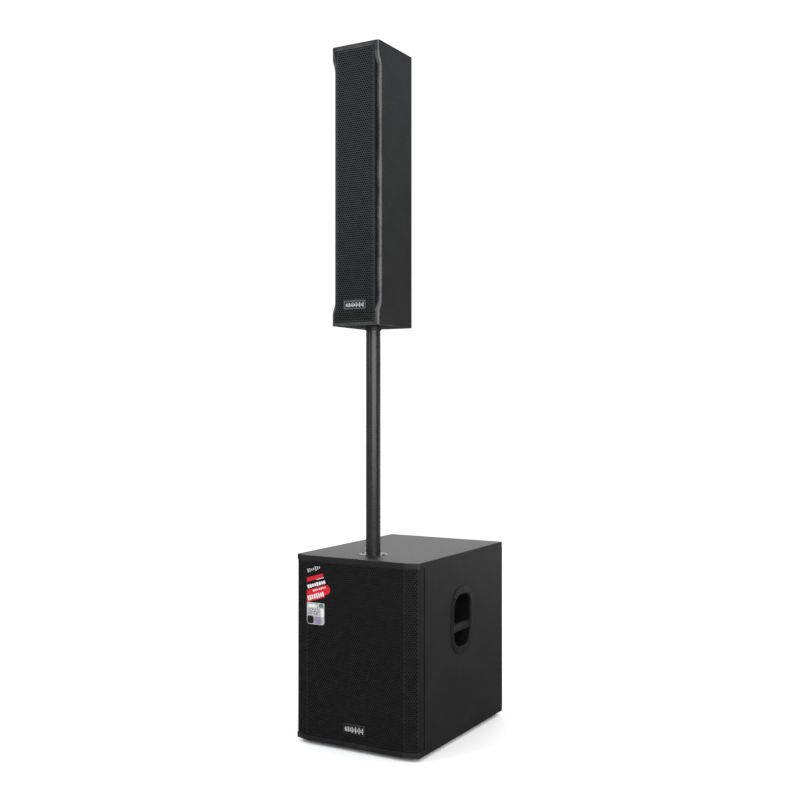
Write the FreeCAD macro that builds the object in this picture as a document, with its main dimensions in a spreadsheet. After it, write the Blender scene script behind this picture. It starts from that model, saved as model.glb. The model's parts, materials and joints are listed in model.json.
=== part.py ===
"""Powered subwoofer with a column loudspeaker on a pole.

Millimetres, +Z up, front towards -Y, origin under the middle of the subwoofer at floor level.
Every sub-part is one document object whose sizes are bound to the cells of the sheet `dims`.
"""
import FreeCAD, Part
import math
import os
import re

import Sketcher
from FreeCAD import Placement, Rotation, Vector

doc = FreeCAD.newDocument("pa_speaker")

# ---------------------------------------------------------------- driving dimensions

SIZES = {
    # subwoofer cabinet
    "sub_width": 368,
    "sub_depth": 506,
    "sub_height": 485,
    "board": 15,
    "foot_height": 10,
    "foot_radius": 19,
    "foot_inset": 62,
    "wing_width": 38,
    "wing_depth": 12,
    "edge_round": 1.6,
    "side_setback": 30,
    "back_recess": 18,
    # subwoofer grille and the foam behind it
    "grille_recess": 3,
    "grille_gap": 1,
    "grille_sheet": 1.5,
    "return_depth": 21,
    "fold_side": 1.1,
    "fold_front": 0.25,
    "foam_thick": 6,
    "foam_half": 144.5,
    "foam_edge": 180.5,
    "foam_rise": 11.1,
    # baffle, woofer and ports
    "baffle_setback": 48,
    "woofer_height": 188,
    "woofer_cutout": 141,
    "woofer_rim": 155,
    "woofer_bolts": 149.2,
    "woofer_bolt_count": 8,
    "port_height": 420,
    "port_offset": 110,
    "port_outer": 40,
    "port_inner": 37.5,
    "port_lip": 46,
    "port_length": 130,
    # handles in the side panels
    "handle_back": 237,
    "handle_height": 305,
    "cup_width": 98,
    "cup_tall": 137,
    "cup_round": 36,
    "cup_wall": 3,
    "cup_depth": 55,
    "flange_width": 130,
    "flange_tall": 180,
    "flange_round": 58,
    "flange_thick": 2.5,
    "grip_thick": 24,
    "grip_drop": 19,
    "grip_front": 2,
    "grip_back": 22,
    # pole and its two sockets
    "pole_radius": 19,
    "pole_bore": 17,
    "pole_back": 84,
    "pole_visible": 597,
    "pole_clear": 0.08,
    "socket_wall": 3.4,
    "socket_depth": 82,
    "socket_floor": 3,
    "socket_flange": 39,
    "socket_bolts": 31.5,
    "socket_proud": 1.2,
    "socket_rebate": 2,
    "cup_depth_column": 67,
    "collar_height": 8,
    "collar_radius": 21.5,
    # column cabinet
    "col_width": 143,
    "col_depth": 171,
    "col_height": 723,
    "col_board": 12,
    "col_floor": 8,
    "col_edge_round": 8,
    "col_ahead": 91,
    "ear_length": 27,
    "ear_step": 11.5,
    "ear_curve": 38,
    "col_baffle_setback": 30,
    "col_grille_recess": 1,
    "col_grille_sheet": 1.2,
    "col_grille_side": 0.6,
    "col_return": 27.5,
    "driver_pitch": 130,
    "driver_lift": 378,
    "driver_rim": 52,
    "driver_cutout": 46,
    "horn_half": 52,
    "horn_cutout": 44,
    # connectors and crossover of the column
    "connector_height": 110,
    "connector_pitch": 36,
    "connector_width": 92,
    "connector_tall": 72,
    "connector_sheet": 2,
    "connector_window": 70,
    "filter_half": 40,
    "filter_tall": 110,
    "filter_drop": 200,
    "board_sheet": 1.6,
    # rear amplifier
    "amp_half": 132,
    "amp_middle": 250,
    "amp_half_tall": 162,
    "amp_sheet": 3,
    "box_half": 118,
    "box_half_tall": 148,
    "box_depth": 95,
    "box_wall": 2,
    "box_clear": 4,
    "row_knobs": 375,
    "row_sockets": 325,
    "row_inlet": 125,
    "knob_first": 78,
    "knob_pitch": 44,
    "knob_shaft": 3,
    "knob_radius": 9,
    "knob_tall": 12,
    "button_across": -56,
    "button_radius": 4,
    "light_first": -78,
    "light_pitch": 13,
    "socket_first": 78,
    "socket_pitch": 42,
    "socket_hole": 12.3,
    "flange_plate_width": 26,
    "flange_plate_tall": 31,
    "flange_plate": 2.4,
    "input_opening": 9.8,
    "input_deep": 16,
    "jack_hole": 3.3,
    "output_opening": 11,
    "output_post": 4,
    "output_deep": 18,
    "inlet_across": 50,
    "inlet_half": 41,
    "inlet_half_tall": 17,
    "sink_half": 112,
    "sink_low": 178,
    "sink_tall": 104,
    "sink_base": 4,
    "fin_thick": 2.4,
    "fin_count": 28,
    "fin_tall": 10,
    # badges
    "badge_width": 66,
    "badge_tall": 26,
    "badge_height": 48,
    "col_badge_width": 70,
    "col_badge_tall": 27,
    "col_badge_height": 55,
    "badge_thick": 2,
    # fasteners
    "screw_head": 4,
    "screw_head_tall": 2,
    "screw_shank": 2,
    "screw_hole": 2.15,
    "screw_long": 14,
}
SIZES["ear_radius"] = (SIZES["ear_step"] ** 2 + SIZES["ear_curve"] ** 2) / (4 * SIZES["ear_step"])

sheet = doc.addObject("Spreadsheet::Sheet", "dims")
for row, (alias, number) in enumerate(SIZES.items(), start=1):
    sheet.set(f"A{row}", alias)
    sheet.set(f"B{row}", str(number))
    sheet.setAlias(f"B{row}", alias)
doc.recompute()

# ---------------------------------------------------------------- sizes written as sums of cells


def amount(text):
    """Value of a sum of terms such as "sub_width/2 - board", read from the sheet's numbers."""
    total = 0.0
    for sign, term in re.findall(r"([+-]?)\s*([\w./*]+)", str(text)):
        value = 1.0
        for operator, word in re.findall(r"([*/]?)([\w.]+)", term):
            factor = float(SIZES[word]) if word in SIZES else float(word)
            value = value / factor if operator == "/" else value * factor
        total += -value if sign == "-" else value
    return total


def bound(text):
    """The same sum as an expression on the sheet."""
    return re.sub(r"[a-z]\w*", r"dims.\g<0>", str(text))


def flipped(text):
    """The sum with every sign turned round."""
    signed = str(text).strip()
    if signed[0] not in "+-":
        signed = "+" + signed
    return signed.translate(str.maketrans("+-", "-+"))


def halved(text):
    """The sum with every term divided by two."""
    return re.sub(r"[\w.][\w./*]*", r"\g<0>/2", str(text))


def span(low, high):
    return f"{high} {flipped(low)}"


def plus(*terms):
    """One sum out of several."""
    joined = str(terms[0])
    for term in terms[1:]:
        text = str(term).strip()
        joined += " " + (text if text[0] in "+-" else "+" + text)
    return joined


def bind(thing, path, text):
    thing.setExpression(path, bound(text))


# ---------------------------------------------------------------- placing

UPRIGHT = Rotation()
FORWARD = Rotation(Vector(1, 0, 0), 90)
REARWARD = Rotation(Vector(1, 0, 0), -90)
RIGHTWARD = Rotation(Vector(0, 1, 0), Vector(0, 0, 1), Vector(1, 0, 0), "ZXY")
LEFTWARD = Rotation(Vector(0, -1, 0), Vector(0, 0, 1), Vector(-1, 0, 0), "ZXY")


def place(thing, at, turn):
    """Put a thing's own origin at a point given as three sums, turned."""
    thing.Placement = Placement(Vector(*(amount(text) for text in at)), turn)
    for axis, text in zip("xyz", at):
        bind(thing, f"Placement.Base.{axis}", text)


# ---------------------------------------------------------------- outlines for sketches


def rectangle(x_low, x_high, y_low, y_high):
    return [(x_low, y_low), (x_high, y_low), (x_high, y_high), (x_low, y_high)]


def rounded(width, tall, radius, x_mid="0", y_mid="0"):
    """Rounded rectangle as eight points: straight runs joined by quarter arcs."""
    left, right = plus(x_mid, flipped(halved(width))), plus(x_mid, halved(width))
    low, high = plus(y_mid, flipped(halved(tall))), plus(y_mid, halved(tall))
    less = flipped(radius)
    return [
        (plus(left, radius), low),
        (plus(right, less), low, radius, 1),
        (right, plus(low, radius)),
        (right, plus(high, less), radius, 1),
        (plus(right, less), high),
        (plus(left, radius), high, radius, 1),
        (left, plus(high, less)),
        (left, plus(low, radius), radius, 1),
    ]


def circle(radius, x_mid="0", y_mid="0"):
    return ("circle", x_mid, y_mid, radius)


def arc_between(start, end, radius, side):
    """Circle arc from start to end, turning left (side 1) or right (side -1), under half a turn."""
    half = (end - start) * 0.5
    across = Vector(-half.y, half.x, 0) / half.Length
    rise = math.sqrt(max(radius ** 2 - half.Length ** 2, 0))
    centre = start + half + across * (rise * side)
    first = math.atan2(start.y - centre.y, start.x - centre.x)
    last = math.atan2(end.y - centre.y, end.x - centre.x)
    if side < 0:
        first, last = last, first
    return Part.ArcOfCircle(Part.Circle(centre, Vector(0, 0, 1), radius), first, last)


def pin_point(rules, links, geometry, position, point):
    """Hold one sketch point at two sums."""
    for kind, axis, text in (("DistanceX", -2, point[0]), ("DistanceY", -1, point[1])):
        number = amount(text)
        if abs(number) < 1e-9:
            rules.append(Sketcher.Constraint("PointOnObject", geometry, position, axis))
        else:
            links.append((len(rules), text))
            rules.append(Sketcher.Constraint(kind, -1, 1, geometry, position, number))


def draw(sketch, outlines):
    """Add closed outlines to a sketch, every point and radius bound to the sheet."""
    shapes, rules, links = [], [], []
    for outline in outlines:
        first = len(shapes)
        if outline[0] == "circle":
            _, x_mid, y_mid, radius = outline
            middle = Vector(amount(x_mid), amount(y_mid), 0)
            shapes.append(Part.Circle(middle, Vector(0, 0, 1), amount(radius)))
            pin_point(rules, links, first, 3, (x_mid, y_mid))
            links.append((len(rules), radius))
            rules.append(Sketcher.Constraint("Radius", first, amount(radius)))
            continue
        ends = []
        for index, point in enumerate(outline):
            after = outline[(index + 1) % len(outline)]
            start = Vector(amount(point[0]), amount(point[1]), 0)
            end = Vector(amount(after[0]), amount(after[1]), 0)
            if len(point) == 4:
                shapes.append(arc_between(start, end, amount(point[2]), point[3]))
                ends.append((1, 2) if point[3] > 0 else (2, 1))
                links.append((len(rules), point[2]))
                rules.append(Sketcher.Constraint("Radius", first + index, amount(point[2])))
            else:
                shapes.append(Part.LineSegment(start, end))
                ends.append((1, 2))
            pin_point(rules, links, first + index, ends[-1][0], point)
        for index in range(len(outline)):
            after = (index + 1) % len(outline)
            rules.append(Sketcher.Constraint(
                "Coincident", first + index, ends[index][1], first + after, ends[after][0]))
    sketch.addGeometry(shapes, False)
    sketch.addConstraint(rules)
    for index, text in links:
        bind(sketch, f"Constraints[{index}]", text)


# ---------------------------------------------------------------- building pieces

PLANES = {"XY": ("XY_Plane", 1), "XZ": ("XZ_Plane", -1), "YZ": ("YZ_Plane", 1)}
nodes = {}


class Piece:
    """A PartDesign body built feature by feature in its own axes."""

    def __init__(self, label, at=("0", "0", "0"), turn=UPRIGHT, keep=True):
        self.label = label
        self.body = doc.addObject("PartDesign::Body", label)
        self.body.Label = label
        place(self.body, at, turn)
        if keep:
            nodes[label] = self.body

    def sketch(self, plane, level, outlines):
        role, side = PLANES[plane]
        face = next(item for item in self.body.Origin.OriginFeatures if item.Role == role)
        sketch = self.body.newObject("Sketcher::SketchObject", self.label + "_sketch")
        sketch.AttachmentSupport = [(face, "")]
        sketch.MapMode = "FlatFace"
        height = level if side > 0 else flipped(level)
        sketch.AttachmentOffset = Placement(Vector(0, 0, amount(height)), Rotation())
        bind(sketch, "AttachmentOffset.Base.z", height)
        draw(sketch, outlines)
        return sketch

    def feature(self, kind, sketch, length):
        feature = self.body.newObject("PartDesign::" + kind, f"{self.label}_{kind.lower()}")
        feature.Profile = sketch
        feature.Length = amount(length)
        bind(feature, "Length", length)
        return feature

    def pad(self, outlines, low, high, plane="XY"):
        """Solid between two levels along the plane's normal axis."""
        level = high if plane == "XZ" else low
        return self.feature("Pad", self.sketch(plane, level, outlines), span(low, high))

    def pocket(self, outlines, low, high, plane="XY"):
        """Cut between two levels along the plane's normal axis."""
        doc.recompute()
        before = self.body.Shape.Volume
        level = low if plane == "XZ" else high
        feature = self.feature("Pocket", self.sketch(plane, level, outlines), span(low, high))
        doc.recompute()
        if self.body.Shape.Volume > before - 1e-3:
            raise RuntimeError(f"{self.label}: a pocket cut nothing")
        return feature

    def turned(self, outlines):
        """Full turn about the body's own Z axis of outlines given as (radius, height)."""
        feature = self.body.newObject("PartDesign::Revolution", self.label + "_turn")
        feature.Profile = self.sketch("XZ", "0", outlines)
        feature.ReferenceAxis = (feature.Profile[0], ["V_Axis"])
        feature.Angle = 360
        return feature

    def around(self, feature, count):
        """Repeat a feature evenly about the body's own Z axis."""
        pattern = self.body.newObject("PartDesign::PolarPattern", self.label + "_ring")
        pattern.Originals = [feature]
        pattern.Axis = (feature.Profile[0], ["N_Axis"])
        pattern.Angle = 360
        pattern.Occurrences = int(amount(count))
        self.body.Tip = pattern

    def soften(self, radius, chosen):
        """Round every edge that the test picks."""
        doc.recompute()
        base = self.body.Tip
        names = [f"Edge{i}" for i, edge in enumerate(base.Shape.Edges, start=1) if chosen(edge)]
        fillet = self.body.newObject("PartDesign::Fillet", self.label + "_round")
        fillet.Base = (base, names)
        fillet.Radius = amount(radius)
        bind(fillet, "Radius", radius)


def cylinder(name, radius, tall, at, turn=UPRIGHT):
    thing = doc.addObject("Part::Cylinder", name)
    thing.Radius = amount(radius)
    thing.Height = amount(tall)
    bind(thing, "Radius", radius)
    bind(thing, "Height", tall)
    place(thing, at, turn)
    return thing


def group(label, members):
    """Separate solids that share one node."""
    thing = doc.addObject("Part::Compound", label)
    thing.Links = members
    thing.Label = label
    nodes[label] = thing


def screw(name, at, turn):
    """Pan-head screw: its head stands on the point, its shank goes in behind it."""
    head = cylinder(name + "_head", "screw_head", "screw_head_tall", at, turn)
    shank = cylinder(name + "_shank", "screw_shank", "screw_long", at, turn * Rotation(Vector(1, 0, 0), 180))
    whole = doc.addObject("Part::Fuse", name)
    whole.Base = head
    whole.Tool = shank
    return whole


def is_upright(edge):
    return abs(edge.tangentAt(edge.FirstParameter).z) > 0.99


def corners(across, tall, middle="0"):
    """Four points round a middle height."""
    return [(x, plus(middle, y)) for x in (across, flipped(across)) for y in (tall, flipped(tall))]


# ---------------------------------------------------------------- places used more than once

FRONT = "-sub_depth/2"
CORNER = "-sub_depth/2 + wing_depth"
SIDE_FRONT = "-sub_depth/2 + wing_depth + side_setback"
REAR = "sub_depth/2"
SIDE = "sub_width/2"
INNER = "sub_width/2 - board"
FLOOR_LOW = "foot_height"
FLOOR_TOP = "foot_height + board"
ROOF_LOW = "foot_height + sub_height - board"
ROOF_TOP = "foot_height + sub_height"
BAFFLE = "-sub_depth/2 + baffle_setback"
BAFFLE_REAR = "-sub_depth/2 + baffle_setback + board"
PANEL_REAR = "sub_depth/2 - back_recess"
PANEL_FRONT = "sub_depth/2 - back_recess - board"
PLATE_REAR = "sub_depth/2 - back_recess + amp_sheet"
POLE_Y = "-sub_depth/2 + wing_depth + pole_back"
COL_LOW = "foot_height + sub_height + pole_visible"
COL_HIGH = "foot_height + sub_height + pole_visible + col_height"
COL_FRONT = POLE_Y + " - col_ahead"
COL_REAR = COL_FRONT + " + col_depth"
COL_SIDE = "col_width/2"
COL_INNER = "col_width/2 - col_board"
COL_BAFFLE = COL_FRONT + " + col_baffle_setback"


# ---------------------------------------------------------------- subwoofer cabinet


def plate_outline():
    """Plan of the top and bottom plates: flat front with angled corners."""
    return [
        (flipped(SIDE), REAR),
        (flipped(SIDE), CORNER),
        ("-sub_width/2 + wing_width", FRONT),
        ("sub_width/2 - wing_width", FRONT),
        (SIDE, CORNER),
        (SIDE, REAR),
    ]


def sub_plates():
    for label, low, high in (("sub_bottom_panel", FLOOR_LOW, FLOOR_TOP),
                             ("sub_top_panel", ROOF_LOW, ROOF_TOP)):
        piece = Piece(label)
        piece.pad([plate_outline()], low, high)
        if label == "sub_top_panel":
            piece.pocket([circle("pole_radius + pole_clear + socket_wall + 0.3", "0", POLE_Y)],
                         low, high)
            piece.pocket([circle("socket_flange + 0.4", "0", POLE_Y)],
                         plus(high, "-socket_rebate"), high)
        outer = amount(high) if label == "sub_top_panel" else amount(low)
        piece.soften("edge_round", lambda edge: is_rim(edge, outer))


def is_rim(edge, level):
    """Straight outer edge: an upright corner, or one lying at the plate's outer face."""
    if edge.Curve.TypeId != "Part::GeomLine" or edge.Length < SIZES["board"] - 0.01:
        return False
    return is_upright(edge) or abs(edge.CenterOfMass.z - level) < 0.01


def side_panels():
    openings = [
        rectangle(SIDE_FRONT, REAR, FLOOR_TOP, ROOF_LOW),
        rounded("cup_width + 9", "cup_tall + 9", "cup_round + 4", CORNER + " + handle_back",
                "foot_height + handle_height"),
    ]
    for label, low, high in (("sub_side_panel_left", flipped(SIDE), flipped(INNER)),
                             ("sub_side_panel_right", INNER, SIDE)):
        Piece(label).pad(openings, low, high, "YZ")


def inner_panels():
    panel = rectangle(flipped(INNER), INNER, FLOOR_TOP, ROOF_LOW)
    box_hole = rectangle("-box_half - box_clear", "box_half + box_clear",
                         "amp_middle - box_half_tall - box_clear",
                         "amp_middle + box_half_tall + box_clear")
    Piece("sub_back_panel").pad([panel, box_hole], PANEL_FRONT, PANEL_REAR, "XZ")
    holes = [circle("woofer_cutout", "0", "woofer_height")]
    for side in ("", "-"):
        holes.append(circle("port_outer + 0.1", side + "port_offset", "port_height"))
    Piece("sub_baffle").pad([panel] + holes, BAFFLE, BAFFLE_REAR, "XZ")


def sub_grille():
    """Folded sheet: flat front, two wings, two plain returns along the cabinet sides."""
    face = FRONT + " + grille_recess"
    fold = CORNER + " + grille_recess"
    end = fold + " + return_depth"
    shell = [
        (SIDE, end),
        (SIDE + " - grille_sheet", end),
        (SIDE + " - grille_sheet", fold + " + fold_side"),
        ("sub_width/2 - wing_width - fold_front", face + " + grille_sheet"),
        ("-sub_width/2 + wing_width + fold_front", face + " + grille_sheet"),
        (flipped(SIDE) + " + grille_sheet", fold + " + fold_side"),
        (flipped(SIDE) + " + grille_sheet", end),
        (flipped(SIDE), end),
        (flipped(SIDE), fold),
        ("-sub_width/2 + wing_width", face),
        ("sub_width/2 - wing_width", face),
        (SIDE, fold),
    ]
    Piece("sub_grille").pad([shell], FLOOR_TOP + " + grille_gap", ROOF_LOW + " - grille_gap")
    back = face + " + grille_sheet"
    foam = [
        ("-foam_half", back),
        ("foam_half", back),
        ("foam_edge", back + " + foam_rise"),
        ("foam_edge", back + " + foam_rise + foam_thick"),
        ("foam_half - 1", back + " + foam_thick"),
        ("-foam_half + 1", back + " + foam_thick"),
        ("-foam_edge", back + " + foam_rise + foam_thick"),
        ("-foam_edge", back + " + foam_rise"),
    ]
    Piece("sub_grille_foam").pad([foam], FLOOR_TOP + " + 3", ROOF_LOW + " - 3")


def badge(label, width, tall, rise, face):
    """Thin nameplate blank with rounded corners, standing on a grille."""
    plate = Piece(label, ("0", face, rise), FORWARD)
    plate.pad([rounded(width, tall, "2")], "0", "badge_thick")


def feet():
    pads = []
    across = "sub_width/2 - foot_inset"
    along = "sub_depth/2 - foot_inset"
    for index, (x_sign, y_sign) in enumerate(((1, 1), (1, -1), (-1, 1), (-1, -1)), start=1):
        foot = Piece(f"foot_{index}", (across if x_sign > 0 else flipped(across),
                                       along if y_sign > 0 else flipped(along), "0"), keep=False)
        foot.turned([[("0", "0"), ("foot_radius - 3", "0"), ("foot_radius", "foot_height"),
                      ("0", "foot_height")]])
        pads.append(foot.body)
    group("rubber_feet", pads)


# ---------------------------------------------------------------- handles

FLANGE_SCREWS = corners("cup_width/2 - 4.3", "cup_tall/2 - 4.8")


def handle(label, side, turn):
    """Moulded cup with a flange and a grip bar across its mouth, local +Z outwards."""
    at = (side, CORNER + " + handle_back", "foot_height + handle_height")
    cup = Piece(label, at, turn)
    cup.pad([rounded("cup_width + 6", "cup_tall + 6", "cup_round + 3")], "-cup_depth - cup_wall", "0")
    holes = [circle("screw_hole", x, y) for x, y in FLANGE_SCREWS]
    cup.pad([rounded("flange_width", "flange_tall", "flange_round")] + holes, "0", "flange_thick")
    cup.soften("2.2", lambda edge: abs(edge.CenterOfMass.z - amount("flange_thick")) < 0.01
               and edge.BoundBox.DiagonalLength > 12)
    cup.pocket([rounded("cup_width", "cup_tall", "cup_round")], "-cup_depth", "flange_thick")
    grip = rounded("grip_thick", "grip_back - grip_front", "7", "-grip_drop",
                   "-grip_front/2 - grip_back/2")
    cup.pad([grip], "-cup_width/2 - 1", "cup_width/2 + 1", "YZ")


# ---------------------------------------------------------------- woofer

WOOFER_AT = ("0", BAFFLE, "woofer_height")


def woofer():
    """Twelve-inch driver, local +Z towards the listener, zero on the baffle's face."""
    basket = Piece("woofer_basket", WOOFER_AT, FORWARD)
    basket.turned([[
        ("woofer_cutout - 4", "0"), ("woofer_rim", "0"), ("woofer_rim", "6"), ("woofer_cutout - 2", "6"),
        ("woofer_cutout - 7", "-3"), ("82", "-78"), ("34", "-78"), ("34", "-82"), ("84", "-82"),
    ]])
    window = basket.pocket([[("60", "-16"), ("128", "-38"), ("128", "38"), ("60", "16")]], "-76", "-12")
    basket.around(window, "6")
    hole = basket.pocket([circle("screw_hole", "woofer_bolts", "0")], "-1", "7")
    basket.around(hole, "woofer_bolt_count")
    Piece("woofer_magnet", WOOFER_AT, FORWARD).turned([[
        ("42", "-111"), ("76", "-111"), ("78", "-109"), ("78", "-91"), ("42", "-91")]])
    top_plate = Piece("woofer_top_plate", WOOFER_AT, FORWARD, keep=False)
    top_plate.turned([rectangle("33", "72", "-91", "-82")])
    pole_piece = Piece("woofer_pole_piece", WOOFER_AT, FORWARD, keep=False)
    pole_piece.turned([[
        ("9", "-120"), ("74", "-120"), ("74", "-111"), ("30", "-111"), ("30", "-82"), ("9", "-82")]])
    group("woofer_motor_plates", [top_plate.body, pole_piece.body])
    Piece("woofer_spider", WOOFER_AT, FORWARD).turned([[
        ("33", "-63"), ("36", "-63"), ("42", "-60"), ("48", "-66"), ("54", "-60"), ("60", "-66"),
        ("66", "-60"), ("72", "-66"), ("90", "-66"), ("90", "-65"), ("72.4", "-65"), ("66", "-58.6"),
        ("60", "-64.6"), ("54", "-58.6"), ("48", "-64.6"), ("42", "-58.6"), ("36", "-61.8"),
        ("33", "-61.8")]])
    Piece("woofer_surround", WOOFER_AT, FORWARD).turned([[
        ("119", "5"), ("124", "5"), ("124", "6", "8.3", -1), ("140.5", "6"), ("143.5", "6"),
        ("143.5", "7.4"), ("141.8", "7.4", "10.2", 1), ("122.6", "7.4"), ("119", "6.6")]])
    # moving parts
    Piece("woofer_cone", WOOFER_AT, FORWARD).turned([[
        ("32.6", "-46"), ("33.5", "-46"), ("120", "3.3"), ("123.6", "3.3"), ("123.6", "4.9"),
        ("119", "4.9"), ("32.6", "-44.4")]])
    Piece("woofer_dust_cap", WOOFER_AT, FORWARD).turned([[
        ("0", "-20"), ("1.5", "-20", "78.73", -1), ("48", "-35.2"), ("46.6", "-36", "76.96", 1),
        ("1.5", "-21.4"), ("0", "-21.4")]])
    Piece("woofer_voice_coil", WOOFER_AT, FORWARD).turned([rectangle("31.2", "32.3", "-96", "-44.4")])


def share(size, fraction):
    """Sum for a cell's size times a cosine or sine."""
    if abs(fraction) < 1e-6:
        return "0"
    return f"{'-' if fraction < 0 else ''}{size}*{abs(fraction):.6f}"


def woofer_fixings():
    heads = []
    count = int(amount("woofer_bolt_count"))
    for index in range(count):
        angle = 2 * math.pi * index / count
        at = (share("woofer_bolts", math.cos(angle)), BAFFLE + " - 6",
              plus("woofer_height", share("woofer_bolts", math.sin(angle))))
        heads.append(screw(f"woofer_screw_{index + 1}", at, FORWARD))
    group("woofer_screws", heads)


def port_tubes():
    tubes = []
    for side, sign in (("left", "-"), ("right", "")):
        tube = Piece("port_" + side, (sign + "port_offset", BAFFLE, "port_height"), FORWARD, keep=False)
        tube.turned([[
            ("port_inner", "-port_length"), ("port_outer", "-port_length"), ("port_outer", "0"),
            ("port_lip", "0"), ("port_lip", "1"), ("port_lip - 2", "3"), ("port_inner + 2.6", "3"),
            ("port_inner", "0.4")]])
        tubes.append(tube.body)
    group("port_tubes", tubes)


# ---------------------------------------------------------------- pole and pole sockets


def pole_and_sockets():
    socket = Piece("pole_socket", ("0", POLE_Y, ROOF_TOP))
    bore = "pole_radius + pole_clear"
    wall = "pole_radius + pole_clear + socket_wall"
    socket.turned([[
        ("0", "-socket_depth - socket_floor"), (wall, "-socket_depth - socket_floor"),
        (wall, "-socket_rebate"), ("socket_flange", "-socket_rebate"), ("socket_flange", "0.4"),
        ("socket_flange - 1", "socket_proud"), (bore + " + 1.2", "socket_proud"),
        (bore, "0"), (bore, "-socket_depth"), ("0", "-socket_depth")]])
    hole = socket.pocket([circle("screw_hole", "socket_bolts", "0")], "-socket_rebate - 1", "socket_proud")
    socket.around(hole, "4")
    pole = Piece("pole", ("0", POLE_Y, ROOF_TOP))
    top = "pole_visible + cup_depth_column"
    pole.turned([rectangle("pole_bore", "pole_radius", "-socket_depth", top + " - 0.5")])
    cup = Piece("column_pole_socket", ("0", POLE_Y, COL_LOW))
    cup.turned([[
        (bore, "-collar_height"), ("collar_radius - 0.8", "-collar_height"),
        ("collar_radius", "-collar_height + 0.8"), ("collar_radius", "-2"), ("34", "-2"), ("34", "0"),
        (wall, "0"), (wall, "cup_depth_column + 3"), ("0", "cup_depth_column + 3"),
        ("0", "cup_depth_column"), (bore, "cup_depth_column")]])


# ---------------------------------------------------------------- rear amplifier

KNOBS = (("knob_sub_level", 0), ("knob_column_level", 1), ("knob_crossover", 2))


def along_row(first, pitch, index):
    return f"{first} - {pitch}*{index}"


SOCKETS = [along_row("socket_first", "socket_pitch", index) for index in range(4)]
LIGHTS = [along_row("light_first", "light_pitch", index) for index in range(3)]


def plate_screw_points():
    side = "amp_half - 6"
    up = "amp_half_tall - 6"
    points = corners(side, up, "amp_middle")
    return points + [(side, "amp_middle"), ("-amp_half + 6", "amp_middle")]


def amp_plate():
    """Rear plate with every control's opening, and the heat sink on it."""
    holes = [circle("knob_shaft + pole_clear", along_row("knob_first", "knob_pitch", index), "row_knobs")
             for _, index in KNOBS]
    holes.append(circle("button_radius + 0.3", "button_across", "row_knobs"))
    holes += [circle("2.6", across, "row_knobs") for across in LIGHTS]
    holes += [circle("socket_hole", across, "row_sockets") for across in SOCKETS]
    holes.append(rectangle("inlet_across - inlet_half + 3", "inlet_across + inlet_half - 3",
                           "row_inlet - inlet_half_tall + 3", "row_inlet + inlet_half_tall - 3"))
    holes += [circle("screw_hole", x, z) for x, z in plate_screw_points()]
    plate = rounded("amp_half*2", "amp_half_tall*2", "8", "0", "amp_middle")
    Piece("amp_plate").pad([plate] + holes, PANEL_REAR, PLATE_REAR, "XZ")
    sink = Piece("amp_heat_sink", ("0", PLATE_REAR, "sink_low"))
    sink.pad([rectangle("-sink_half", "sink_half", "0", "sink_base")], "0", "sink_tall")
    first = "-sink_half"
    fin = sink.pad([rectangle(first, first + " + fin_thick", "sink_base - 0.5", "sink_base + fin_tall")],
                   "0", "sink_tall")
    rows = sink.body.newObject("PartDesign::LinearPattern", "amp_heat_sink_fins")
    rows.Originals = [fin]
    rows.Direction = (fin.Profile[0], ["H_Axis"])
    rows.Length = amount("sink_half*2 - fin_thick")
    bind(rows, "Length", "sink_half*2 - fin_thick")
    rows.Occurrences = int(amount("fin_count"))
    sink.body.Tip = rows


def amp_inside():
    front = PANEL_REAR + " - box_depth"
    housing = Piece("amp_housing")
    housing.pad([rectangle("-box_half", "box_half", "amp_middle - box_half_tall",
                           "amp_middle + box_half_tall")], front, PANEL_REAR, "XZ")
    housing.pocket([rectangle("-box_half + box_wall", "box_half - box_wall",
                              "amp_middle - box_half_tall + box_wall",
                              "amp_middle + box_half_tall - box_wall")],
                   front + " + box_wall", PANEL_REAR, "XZ")
    board = Piece("amp_circuit_board")
    rear = PANEL_REAR + " - 40"
    board.pad([rectangle("-box_half + 10", "box_half - 10", "amp_middle", "amp_middle + box_half_tall - 8")],
              rear, rear + " + board_sheet", "XZ")
    for index, (x, z, radius) in enumerate((("-80", "285", "9"), ("-55", "285", "9"), ("-30", "285", "7"),
                                            ("0", "280", "12"), ("40", "283", "7"), ("70", "283", "7"))):
        board.pad([circle(radius, x, z)], rear + " - 28", rear, "XZ")
    core = Piece("amp_transformer", ("-52", front + " + box_wall", "158"), REARWARD)
    core.turned([[("14", "0"), ("44", "0"), ("48", "4"), ("48", "38"), ("44", "42"), ("18", "42"),
                  ("14", "38")]])


def knobs():
    for label, index in KNOBS:
        knob = Piece(label, (along_row("knob_first", "knob_pitch", index), PLATE_REAR, "row_knobs"), REARWARD)
        knob.turned([[
            ("0", "-12"), ("knob_shaft", "-12"), ("knob_shaft", "0.6"), ("knob_radius", "0.6"),
            ("knob_radius", "3"), ("knob_radius - 1.4", "knob_tall - 1"),
            ("knob_radius - 2.4", "knob_tall"), ("0", "knob_tall")]])
        knob.pocket([rectangle("-0.6", "0.6", "-knob_radius", "-2")], "knob_tall - 1.2", "knob_tall")


def button():
    cap = Piece("phase_button", ("button_across", PLATE_REAR, "row_knobs"), REARWARD)
    cap.turned([[
        ("0", "-14"), ("button_radius - 1", "-14"), ("button_radius - 1", "-5.6"),
        ("button_radius + 1.5", "-5.6"), ("button_radius + 1.5", "-3.4"), ("button_radius", "-3.4"),
        ("button_radius", "4.6"), ("button_radius - 0.8", "5.4"), ("0", "5.4")]])


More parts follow.
